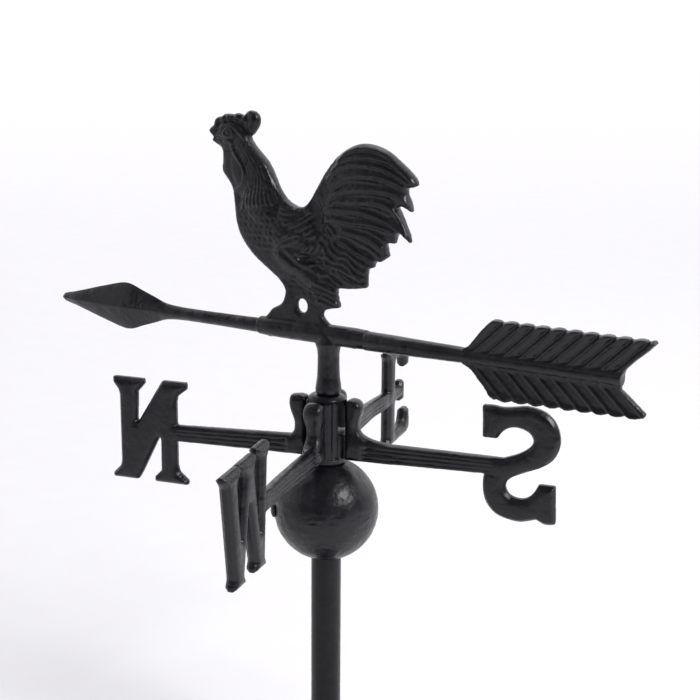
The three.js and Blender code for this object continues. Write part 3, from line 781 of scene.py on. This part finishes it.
# Half the height of the arrow's head and of the shaft behind it
HEAD_PROFILE = [
    (-221.8, 0.4), (-221.3, 1.7), (-219.5, 2.9), (-215, 4.0), (-210, 5.1), (-200, 7.8), (-190, 10.6),
    (-180, 13.2), (-171, 15.5), (-166, 16.4), (-162, 16.4), (-157.5, 15.5), (-150, 12.7), (-140, 9.4),
    (-134, 7.2), (-128, 5.6), (-120, 4.8), (-110, 4.5), (-90, 4.5), (-70, 4.7), (-58, 4.9), (-52.3, 5.0),
]
# Half their thickness
HEAD_THICKNESS = [
    (-222, 0.4), (-221.4, 1.5), (-219.5, 2.3), (-210, 3.4), (-190, 4.8), (-166, 5.6), (-150, 5.2),
    (-134, 4.6), (-120, 4.4), (-52.3, 4.6),
]
TAIL_OUTLINE_FRONT = [(98, 4.4), (102, 6.6), (105.5, 11), (110, 17), (114, 21.5), (117.5, 24.6)]
TENON_RADIUS = 3.3
TENON_LENGTH = 18
BARB_PITCH = 10.2
BARB_START = 114.6
SPINE_HALF = 4.6


ARROW_SET = ARROW_PLACE @ Matrix.Translation((0, 0, -0.5))


def make_arrow_head():
    bm = bmesh.new()
    distances, halves = zip(*HEAD_THICKNESS)

    def ring(x, height):
        """The section here: nearly a diamond in the head, rounder in the shaft."""
        width = float(np.interp(x, distances, halves))
        power = float(np.interp(x, (-140, -126), (1.12, 1.5)))
        points = []
        for i in range(48):
            a = 2 * math.pi * i / 48
            across, up = math.cos(a), math.sin(a)
            radius = (abs(across / width) ** power + abs(up / height) ** power) ** (-1 / power)
            points.append((x, radius * across, radius * up))
        return points

    lofted(bm, [ring(x, max(height, 0.3)) for x, height in smooth_path(HEAD_PROFILE, steps=3)])
    end = BOSS_FRONT + TENON_LENGTH - 0.3
    along_arrow(bm, [
        (0, BOSS_FRONT - 2), (TENON_RADIUS, BOSS_FRONT - 2), (TENON_RADIUS, end - 0.7),
        (TENON_RADIUS - 0.6, end), (0, end),
    ])
    finished("arrow_head_casting", "arrow_head", bm, ARROW_SET, IRON, 60, "vane")


def scallop(x):
    """How far the tips of the barbs stand out along the fletching's long edges, 0 to 1."""
    return abs(math.sin(math.pi * (x - BARB_START) / BARB_PITCH)) ** 0.7


def tail_outline():
    top = [(x, 23.7 + 1.2 * scallop(x)) for x in np.arange(119, 216.5, 0.85)]
    bottom = [
        (x, -25.6 + 0.028 * (x - 119) + 1.5 * (1 - scallop(x + 3))) for x in np.arange(212, 119.5, -0.85)
    ]
    rear = [
        (218.8, 25.3), (219.9, 22.8), (215.4, 18), (208.4, 11.8), (202.8, 6), (200.8, 2), (200.8, -3),
        (200, -6.6), (205.4, -10.6), (211.4, -15.6), (216, -19.4), (214.8, -21.8),
    ]
    front_low = [(117, -23.2), (113, -18.2), (108, -12.6), (103.5, -8), (98, -5)]
    return TAIL_OUTLINE_FRONT + top + rear + bottom + front_low


def tail_thickness(x, z, edge):
    """Half the fletching's thickness. Barbs slant back from a round spine: above it they are broad
    and parted by grooves, below it they are narrow ridges. Each ends in a small lump at the edge."""
    away = np.abs(z)
    phase = np.mod((x - BARB_START - (away - SPINE_HALF) * 1.02) / BARB_PITCH, 1)
    barb = np.where(phase < 0.42, rise(phase, 0, 0.42), (1 - phase) / 0.58)
    ridge = rise(phase, 0, 0.14) * (1 - rise(phase, 0.14, 0.48))
    groove = np.exp(-((np.minimum(phase, 1 - phase) / 0.14) ** 2))
    slope = np.where(z > 0, 1.4 * barb - 0.7 * groove, 0.8 * ridge) * (0.5 + 0.5 * rise(away, 3, 8))
    end = rise(away, 19.5, 22.5) * (0.4 + 0.6 * barb)
    root = barb * np.exp(-(((away - SPINE_HALF) / 1.4) ** 2))
    plate = (2.0 + slope + 0.8 * end + 0.7 * root) * pillow(edge, 1.3, 0.7)
    spine = 4.9 * np.sqrt(np.clip(1 - (away / (SPINE_HALF + 0.35)) ** 2, 0, 1))
    soft = 0.3
    return soft * np.logaddexp(plate / soft, np.maximum(spine, 0.4) / soft)


def make_arrow_tail():
    bm = bmesh.new()
    slab(bm, tail_outline(), BLANK_HALF)
    plate = fused(bm, CASTING_GRAIN, 1)
    sculpt(plate, BLANK_HALF, tail_thickness)
    start = BOSS_REAR + 0.06
    along_arrow(plate, [
        (0, start), (6.25, start), (6.0, 50), (5.4, 75), (5, 95), (4.7, 104), (4, 120), (0, 122),
    ], 40)
    end = start - TENON_LENGTH
    along_arrow(plate, [
        (0, start + 2), (TENON_RADIUS, start + 2), (TENON_RADIUS, end + 0.7), (TENON_RADIUS - 0.6, end),
        (0, end),
    ])
    finished("arrow_tail_casting", "arrow_tail", plate, ARROW_SET, IRON, 60, "vane")


make_arrow_head()
make_arrow_tail()

# The compass arms: x runs outwards from the pole's axis, z is the height above the arms' centre line

# The knuckles from the side: a round top, and a foot that runs out along the bar
ROUND_TOP = [
    (13.9, -5.9, True), (13.9, 10), (13.9, 29), (14.8, 33.2), (18.3, 35), (22.3, 34), (24.6, 31),
    (24.8, 27),
]
SOUTH_KNUCKLE = ROUND_TOP + [
    (23.4, 22.5), (22.4, 17.5), (23.2, 13.2), (26.4, 10.4), (31.5, 8.6), (38, 7.4), (46, 6.6, True),
    (46, -5.9, True),
]
SOFT_KNUCKLE = ROUND_TOP + [
    (23.3, 22.5), (22.1, 17.5), (22.6, 12.6), (25.4, 8.6), (30, 6.4), (36, 5.4, True), (36, -5.9, True),
]
BLOCK_KNUCKLE = [
    (13.4, -5.9, True), (13.4, 33.4, True), (14.6, 34.3), (18, 34.9), (23.4, 34.2), (24.6, 32.6), (25, 29),
    (24, 24), (21.9, 18.5), (21.5, 14.5), (22.2, 9.5), (26, 6.3, True), (28, 5.5, True), (28, -5.9, True),
]
BAR_ROOT = 6.8  # half the bar's height at the knuckle
BAR_END = 5.2  # and at the letter
BAR_REEDS = 4
LETTER_SWELL = 0.4  # how far a casting's outline is pushed out after it is fused
NORTH_LETTER = [
    (0, -36), (24.4, -36), (24.4, -33), (19.6, -28), (19.2, -5), (21, -3), (35, -31), (38, -36),
    (56.5, -36), (56.5, -33.5), (51, -28), (50, -24), (50, 24), (51, 27.5), (54.8, 32.5), (54.8, 36),
    (31.7, 36), (31.7, 33), (37, 27), (38, 7), (36.5, 5), (20, 32), (17.5, 36), (0, 36),
    (0, 32), (7, 26.5), (8, 22), (8, -23), (6.6, -28), (0, -33.5),
]
EAST_LETTER = [
    (0, -36), (45, -36), (50.5, -33), (51, -27), (49.5, -17), (42.5, -17), (40, -24.5), (36, -28),
    (17, -28), (15.5, -26), (15.5, -4.5), (29, -4), (31.5, -7.5), (37, -7.5), (37, 7.5), (31.5, 7.5),
    (29, 4), (15.5, 4.5), (15.5, 26), (17, 28), (33, 28), (37.5, 24.5), (40, 17), (47, 17), (49, 28),
    (47.5, 36), (0, 36), (0, 33.5), (3, 29.5), (3, -29.5), (0, -33.5),
]
WEST_LETTER = [
    (0, 39.4), (0, 35.5), (4, 30.5), (8.4, -30), (6.4, -33), (6.6, -36), (21.5, -36), (21.6, -33),
    (19.8, -30), (30.4, 12.3),
    (38.4, -30), (36.4, -33), (36.6, -36), (51.5, -36), (51.6, -33), (49.6, -30), (58, 28), (62, 32.5),
    (62, 35), (40.8, 35.8),
    (41.5, 33), (47, 28), (41.7, -11.3), (34.8, 28), (39.4, 33), (39.8, 36), (20, 37),
    (20, 34), (23.5, 29), (13.7, -16.4), (11, 31), (16, 35.5), (16, 38.6),
]
SOUTH_LETTER = [
    (0.5, 37, True), (1, 16.5, True), (9.8, 16.5, True), (12.8, 20.8), (17, 24), (23, 25), (30, 22.8),
    (33.6, 18),
    (31.8, 12.6), (24, 7), (14, 3), (6.4, -1.4), (3, -7), (2, -15), (4, -25.5), (11.4, -33.8), (24, -37),
    (31, -36), (37, -34, True), (42.6, -36.7), (49, -36, True), (48, -11.5, True), (38, -11.5, True),
    (35.2, -17),
    (31, -21.2), (25, -22.5), (18.6, -20.3), (16, -14.5), (19, -9), (28, -4.2), (39.5, 1), (47, 7.6),
    (50, 18),
    (47, 29), (39.6, 36), (29, 38.5), (21, 37.4), (13, 36.5), (7, 37.2),
]


def arm_thickness(reach, rise_at_end, overlap, block):
    """Half the thickness of one arm: the knuckle's bulb and waist, a reeded bar whose reeds fade
    towards the letter, and a letter with a ledge round a rounded stroke."""

    def thickness(x, z, edge):
        if block:
            knuckle = 5.5 - 0.6 * rise(z, 20, 15) + 0.4 * rise(z, 10, 2)
        else:
            knuckle = 5.1 + 1.3 * rise(z, 16.5, 24) + 1.1 * rise(z, 13, 3)
        knuckle *= pillow(edge, 4.2, 0.32)
        t = np.clip((x - 26) / (reach - 26), 0, 1)
        across = (z - rise_at_end * t) / (BAR_ROOT + (BAR_END - BAR_ROOT) * t)
        reed = np.mod((np.clip(across, -0.999, 0.999) + 1) * BAR_REEDS / 2, 1) * 2 - 1
        depth = 1.3 * (1 - 0.65 * t)
        bar = 4.3 - 0.5 * t - depth + depth * np.sqrt(np.clip(1 - 0.97 * reed**2, 0, 1))
        bar *= pillow(edge, 2.6, 0.45)
        letter = 1.7 + 1.2 * np.clip(edge / 1.4, 0, 1) + 1.6 * pillow(edge - 1.2, 5, 0)
        to_bar = rise(x, 24.4, 29) if block else rise(x - 0.25 * z, 23, 29)
        to_letter = rise(x, reach + overlap - 9, reach + overlap - 3)
        beside_bar = rise(np.abs(across), 1.02, 1.3) * rise(x, reach - 1, reach)
        return knuckle + to_bar * (bar - knuckle) + np.maximum(to_letter, beside_bar) * (letter - bar)

    return thickness


def make_arm(node, angle, letter, reach, letter_rise, bar_rise, overlap, knuckle, aside=(0, 0)):
    """One arm. Its letter starts at the reach, sits this much higher than the arms' centre line and
    takes in this length of the bar. Aside gives how far the knuckle and the letter stand off the
    arm's middle plane."""
    bm = bmesh.new()
    slab(bm, [tuple(p) for p in smooth_path(knuckle, closed=True)], BLANK_HALF)
    end = reach + overlap
    slab(bm, [
        (26, -BAR_ROOT + 0.8), (end, bar_rise - BAR_END), (end, bar_rise + BAR_END), (26, BAR_ROOT),
    ], BLANK_HALF)
    curved = any(len(p) > 2 for p in letter)
    outline = [tuple(p) for p in smooth_path(letter, closed=True)] if curved else letter
    slab(bm, [(x + reach, z + letter_rise) for x, z in outline], BLANK_HALF)
    casting = fused(bm, CASTING_GRAIN, 3)
    casting.normal_update()
    for vertex in casting.verts:
        vertex.co += LETTER_SWELL * Vector((vertex.normal.x, 0, vertex.normal.z))
    knuckle_aside, letter_aside = aside

    def offset(x):
        return knuckle_aside * rise(x, 34, 22) + letter_aside * rise(x, reach - 30, reach)

    sculpt(casting, BLANK_HALF, arm_thickness(reach, bar_rise, overlap, knuckle is BLOCK_KNUCKLE), offset)
    # The tongue in the hub's slot, which has a gap on the south arm
    for low, high in ((-4.7, 11), (16.2, 30)) if knuckle is SOUTH_KNUCKLE else ((-4.7, 30),):
        prism(casting, [(10.9, -3.05), (15.5, -2.1), (15.5, 2.1), (10.9, 3.05)], low, high)
    finished(node + "_casting", node, casting, arm_place(angle), IRON, 60)


make_arm("arm_east", 0, EAST_LETTER, 112, 1, 2, 8, SOFT_KNUCKLE, (0, -2.7))
make_arm("arm_north", 90, NORTH_LETTER, 101, -2.3, -2.3, 13, BLOCK_KNUCKLE)
make_arm("arm_west", 180, WEST_LETTER, 106, -2, 0, 13, SOFT_KNUCKLE, (-1.5, 1.0))
make_arm("arm_south", 270, SOUTH_LETTER, 105, 3.5, 1.4, 14, SOUTH_KNUCKLE)

# The hub, its cap, the ball, the pole and the base

BALL_SCREW_ANGLE = 120
BALL_FLAT = 32.9  # the flat on the ball's top, above its middle
HUB_RADIUS = 13.5
SLOT_FLOOR_RADIUS = 10.6
FLUTE_RADIUS = 3.4
FLUTE_CIRCLE = 15.2
HUB_SLOT_BOTTOM = -5
# What is missing from the wall at the south slot: its plan, and its heights above the arms' centre line
MISSING_WALL = [
    ([(-9, -10.4), (-9, -15), (-3.2, -15), (-3.2, -10.4)], 10.5, 40),
    ([(-3.4, -10.2), (-3.4, -15), (9, -15), (9, -10.2)], 11, 16),
]
SPIGOT_RADIUS = 6  # the pole inside the hub
SPINDLE_RADIUS = 4  # the pole inside the vane's socket
SPINDLE_TOP = 69  # above the arms' centre line
BALL_PLACE = Matrix.Translation((0, 0, ARM_HEIGHT - 42))
BASE_SCREW_CIRCLE = 50
OUTWARD = Matrix.Rotation(math.pi / 2, 4, "Y")  # turns a piece made along Z to point along X


def on_circle(radius, degrees):
    return radius * math.cos(math.radians(degrees)), radius * math.sin(math.radians(degrees))


def hub_plan():
    """The hub from above: a disc with four dovetail slots and a flute between each pair."""
    plan = []
    for quarter in range(4):
        turn = Matrix.Rotation(math.radians(90 * quarter), 2)
        corners = [(SLOT_FLOOR_RADIUS, -3.4), (SLOT_FLOOR_RADIUS, 3.4), (13.25, 2.6)]
        meet = (HUB_RADIUS**2 + FLUTE_CIRCLE**2 - FLUTE_RADIUS**2) / (2 * HUB_RADIUS * FLUTE_CIRCLE)
        spread = math.degrees(math.acos(meet))
        for a in np.linspace(13, 45 - spread, 4):
            corners.append(on_circle(HUB_RADIUS, a))
        middle = Vector((FLUTE_CIRCLE, 0))
        start = Vector((HUB_RADIUS * meet, -HUB_RADIUS * math.sin(math.radians(spread)))) - middle
        half = math.atan2(-start.y, -start.x)
        for a in np.linspace(half, -half, 13)[1:-1]:
            flute = middle + FLUTE_RADIUS * Vector((-math.cos(a), -math.sin(a)))
            corners.append(tuple(Matrix.Rotation(math.radians(45), 2) @ flute))
        for a in np.linspace(45 + spread, 77, 4):
            corners.append(on_circle(HUB_RADIUS, a))
        corners.append((2.6, 13.25))
        plan += [tuple(turn @ Vector(corner)) for corner in corners]
    return plan


def make_hub():
    low, high = HUB_LOW - ARM_HEIGHT, HUB_HIGH - ARM_HEIGHT
    bm = bmesh.new()
    prism(bm, hub_plan(), HUB_SLOT_BOTTOM - 0.5, high)
    turned(bm, [(0, low), (12.6, low), (13.5, low + 0.8), (13.5, HUB_SLOT_BOTTOM), (0, HUB_SLOT_BOTTOM)])
    casting = fused(bm, HUB_GRAIN, 2)
    bore = bmesh.new()
    radius = SPIGOT_RADIUS + 0.4
    turned(bore, [(0, low - 1), (radius, low - 1), (radius, high + 1), (0, high + 1)], 40)
    casting = cut_from(casting, bore)
    for plan, bottom, top in MISSING_WALL:
        missing = bmesh.new()
        prism(missing, plan, bottom, top)
        casting = cut_from(casting, missing)
    finished("hub_casting", "hub", casting, arm_place(0), IRON, 50)


def make_bar_piece(name, node, profile, height):
    """A piece turned from steel bar, with its profile's zero at a height."""
    bm = bmesh.new()
    turned(bm, profile, 96)
    finished(name, node, bm, Matrix.Translation((0, 0, height)), BAR, 35)


def ball_profile():
    """The ball in section, bored for the pole, with a ledge for the line between its halves."""
    top = BALL_FLAT
    points = [(6.4, 18.3), (6.4, top)]
    start = math.acos(top / BALL_RADIUS)
    end = math.pi - math.asin(10.4 / BALL_RADIUS)
    points.append((BALL_RADIUS * math.sin(start) - 0.8, top))
    for a in np.linspace(start + 0.03, end, 150):
        points.append((BALL_RADIUS * math.sin(a), BALL_RADIUS * math.cos(a)))
    points += [(10.4, -10), (10.4, 18.3)]
    return points


def make_ball():
    """Cast in two halves: a broken seam round the middle, and a skin that isn't quite even."""
    bm = bmesh.new()
    turned(bm, ball_profile(), 192)
    for vertex in bm.verts:
        spot = vertex.co
        if spot.length < BALL_RADIUS - 0.6 or spot.z > BALL_FLAT - 0.05:
            continue
        around = math.atan2(spot.y, spot.x)
        wave = 0.5 + 0.5 * math.sin(5 * around + 1.3) * math.sin(11 * around + 0.4)
        seam = 0.4 * wave**3 * math.exp(-(((spot.z + 0.3 * math.sin(3 * around)) / 0.9) ** 2))
        low = noise.noise(Vector((spot.x * 0.12, spot.y * 0.12, spot.z * 0.3)) + Vector((3, 7, 1)))
        fine = noise.noise(Vector((spot.x * 0.22, spot.y * 0.22, spot.z * 0.6)))
        belt = math.exp(-(((spot.z + 6) / 14) ** 2))
        out = seam + (0.05 + 0.2 * belt) * low + (0.03 + 0.1 * belt) * fine - 0.2
        vertex.co = spot * (1 + out / BALL_RADIUS)
    finished("ball_casting", "ball", bm, BALL_PLACE, IRON, 50)


make_hub()
cap_top = CAP_HIGH - CAP_LOW
make_bar_piece("hub_cap_turned", "hub_cap", [
    (4.4, 0), (12.1, 0), (12.4, 0.2), (12.4, 0.5), (12.1, 1.3), (11.4, 2.2), (10.3, 3), (9, 3.5),
    (7.6, cap_top), (4.6, cap_top), (4.4, cap_top - 0.2),
], CAP_LOW)
make_ball()
shoulder = ARM_HEIGHT - 24  # where the pole steps down to its spigot
tip = ARM_HEIGHT + SPINDLE_TOP
make_bar_piece("pole_bar", "pole", [
    (0, 6.3), (8.9, 6.3), (10, 7.4), (10, 120), (10, shoulder - 0.6), (9.4, shoulder),
    (SPIGOT_RADIUS, shoulder), (SPIGOT_RADIUS, ARM_HEIGHT + 32.9), (SPIGOT_RADIUS - 0.3, HUB_HIGH),
    (SPINDLE_RADIUS, HUB_HIGH), (SPINDLE_RADIUS, tip - 1.4), (SPINDLE_RADIUS - 1, tip), (0, tip),
], 0)


CLAMP_PLACE = Matrix.Translation((0, 0, 24)) @ OUTWARD


def base_screw_place(number):
    return Matrix.Translation((*on_circle(BASE_SCREW_CIRCLE, 90 * number - 45), 0))


def make_base():
    bm = bmesh.new()
    turned(bm, [
        (0, 6), (10.4, 6), (10.4, 35.4), (10.9, 36), (14.8, 36), (15.9, 35.4), (16.6, 34.2), (17.4, 22),
        (18.6, 14.6), (20.6, 10.8), (24.6, 8.6), (28, 8), (60, 8), (62.6, 7.5), (64.4, 6.1), (65, 4),
        (65, 0.8), (64.2, 0), (0, 0),
    ], 128)
    holes = bmesh.new()
    for number in range(1, 5):
        turned(holes, [(0, -1), (3.1, -1), (3.1, 9), (0, 9)], 32, base_screw_place(number))
    bm = cut_from(bm, holes)
    side = bmesh.new()
    turned(side, [(0, 9), (3.4, 9), (3.4, 24), (0, 24)], 32, CLAMP_PLACE)
    bm = cut_from(bm, side)
    finished("base_casting", "base_flange", bm, Matrix.Identity(4), IRON, 40)


make_base()

# Screws


def make_base_screw(number):
    """A slotted screw with a domed head, through a hole of the base. Each is turned differently."""
    bm = bmesh.new()
    shank = [(0, 1), (2.6, 1), (2.6, 8.3), (5.0, 8.3), (5.35, 8.6), (5.35, 9.1)]
    dome = [(5.0 * math.cos(t), 8.9 + 3.0 * math.sin(t)) for t in np.linspace(0.12, math.pi / 2, 10)]
    turned(bm, shank + dome[1:-1] + [(0, 11.9)], 64)
    slot = bmesh.new()
    prism(slot, [(-6, -0.65), (6, -0.65), (6, 0.65), (-6, 0.65)], 10.2, 13)
    bm = cut_from(bm, slot)
    place = base_screw_place(number) @ Matrix.Rotation(math.radians(37 * number), 4, "Z")
    finished(f"base_screw_head_{number}", f"base_screw_{number}", bm, place, SCREW, 35)


def make_clamp_screw():
    """The base's set screw, with a chamfered square head."""
    radius, tip, seat = 3, 10.3, 19
    bm = bmesh.new()
    turned(bm, [
        (0, tip), (radius - 0.5, tip), (radius, tip + 0.6), (radius, seat + 0.5), (0, seat + 0.5),
    ], 48)
    half = radius * 1.05
    block = bmesh.new()
    prism(block, [(-half, -half), (half, -half), (half, half), (-half, half)], seat, seat + 4)
    bmesh.ops.bevel(
        block, geom=block.edges[:], offset=0.45, segments=3, profile=0.5, affect="EDGES", material=-1
    )
    mesh = bpy.data.meshes.new("block")
    block.to_mesh(mesh)
    block.free()
    bm.from_mesh(mesh)
    bpy.data.meshes.remove(mesh)
    finished("base_clamp_screw", "base_set_screw", bm, CLAMP_PLACE, SCREW, 35)


def make_grub(name, node, body, tip, end, place):
    """A headless screw with a hexagonal socket in its outer end."""
    radius = 2
    bm = bmesh.new()
    turned(bm, [
        (0, tip), (radius - 0.5, tip), (radius, tip + 0.5), (radius, end - 0.3), (radius - 0.3, end),
        (0, end),
    ], 48)
    socket = bmesh.new()
    hexagon = [on_circle(1.15, 60 * i) for i in range(6)]
    prism(socket, hexagon, end - 1.4, end + 1)
    bm = cut_from(bm, socket)
    finished(name, node, bm, place, SCREW, 35, body)


for number in range(1, 5):
    make_base_screw(number)
make_clamp_screw()


def make_ball_screw():
    """A round-headed slotted screw in the ball's side."""
    seat = BALL_RADIUS - 0.2
    bm = bmesh.new()
    dome = [(4.4 * math.cos(t), seat + 0.6 + 1.9 * math.sin(t)) for t in np.linspace(0, math.pi / 2, 12)]
    shank = [(0, 10.3), (2, 10.3), (2.5, 10.8), (2.5, seat), (4.2, seat), (4.4, seat + 0.2)]
    turned(bm, shank + dome[:-1] + [(0, seat + 2.5)], 48)
    slot = bmesh.new()
    prism(slot, [(-6, -0.5), (6, -0.5), (6, 0.5), (-6, 0.5)], seat + 1.7, seat + 4)
    bm = cut_from(bm, slot)
    place = BALL_PLACE @ Matrix.Rotation(math.radians(BALL_SCREW_ANGLE), 4, "Z") @ OUTWARD
    finished("ball_screw_round_head", "ball_set_screw", bm, place, SCREW, 35)


make_ball_screw()
hub_grub_place = Matrix.Translation((0, 0, ARM_HEIGHT + 13)) @ Matrix.Rotation(math.radians(45), 4, "Z")
make_grub("hub_grub", "hub_set_screw", "mast", 6.3, 11.3, hub_grub_place @ OUTWARD)
for name, node, x in (("head_grub", "arrow_head_screw", -43), ("tail_grub", "arrow_tail_screw", 21)):
    upward = ARROW_PLACE @ Matrix.Translation((x, 0, -3.6)) @ Matrix.Rotation(math.pi, 4, "X")
    make_grub(name, node, "vane", 0, 3, upward)


def make_thrust_ball():
    bm = bmesh.new()
    radius = 3
    bmesh.ops.create_icosphere(bm, subdivisions=4, radius=radius)
    place = Matrix.Translation((0, 0, ARM_HEIGHT + SPINDLE_TOP + radius + 0.3))
    finished("bearing_ball", "thrust_ball", bm, place, BALL_STEEL, ALL_SMOOTH, "vane")


make_thrust_ball()

# Studio

VIEW_AXES = scene.camera.matrix_world.to_3x3().transposed()  # rows: right, up and back towards the camera


def make_studio():
    """A wide paper floor in a bright room. The room is brighter on the far side of the object."""
    bpy.ops.mesh.primitive_plane_add(size=160, location=(0, 0, 0))
    floor = bpy.context.active_object
    floor.name = "studio_floor"
    floor.data.materials.append(studio_paper())
    world = bpy.data.worlds.new("room")
    scene.world = world
    world.use_nodes = True
    tree = world.node_tree
    tree.nodes.clear()
    direction = add_node(tree, "ShaderNodeTexCoord").outputs["Generated"]
    away = add_node(tree, "ShaderNodeVectorMath", operation="DOT_PRODUCT")
    tree.links.new(direction, away.inputs[0])
    away.inputs[1].default_value = -VIEW_AXES[2]
    strength = stretched(tree, away.outputs["Value"], -0.7, 0.9, ROOM_NEAR, ROOM_FAR)
    light = add_node(tree, "ShaderNodeBackground", {"Color": linear("#fcfbff"), "Strength": strength})
    add_node(tree, "ShaderNodeOutputWorld", {"Surface": light.outputs["Background"]})
    scene.view_settings.view_transform = "Standard"


def softbox(name, aside, above, toward, size, brightness):
    """A soft light placed by the camera's own axes, in metres from the hub, that faces the hub."""
    hub = Vector((0, 0, ARM_HEIGHT * MM))
    place = hub + Vector((aside, above, toward)) @ VIEW_AXES
    light = bpy.data.lights.new(name, "AREA")
    light.shape = "RECTANGLE"
    light.size, light.size_y = size
    light.energy = brightness * math.pi * size[0] * size[1]
    box = bpy.data.objects.new(name, light)
    box.location = place
    box.rotation_euler = (hub - place).to_track_quat("-Z", "Y").to_euler()
    scene.collection.objects.link(box)


def ceiling(distance, height, size, brightness):
    """A wide soft ceiling that starts beyond the object and lights the paper behind it."""
    away = Vector((-VIEW_AXES[2].x, -VIEW_AXES[2].y, 0)).normalized()
    light = bpy.data.lights.new("ceiling", "AREA")
    light.shape = "SQUARE"
    light.size = size
    light.energy = brightness * math.pi * size * size
    panel = bpy.data.objects.new("ceiling", light)
    panel.location = away * (distance + size / 2) + Vector((0, 0, height))
    panel.rotation_euler = (0, 0, math.atan2(away.y, away.x))
    scene.collection.objects.link(panel)


make_studio()
ceiling(0.3, 2.4, 60, CEILING)
softbox("key_softbox", 1.15, 0.8, 1.0, (0.6, 0.6), 18)
softbox("fill_softbox", -0.95, 0.8, 1.3, (0.3, 0.45), 1.9)
softbox("side_strip", -1.6, 0.4, 0.5, (0.3, 0.9), 1.2)
softbox("top_softbox", 0.1, 1.7, -0.4, (1.0, 0.7), 1.7)
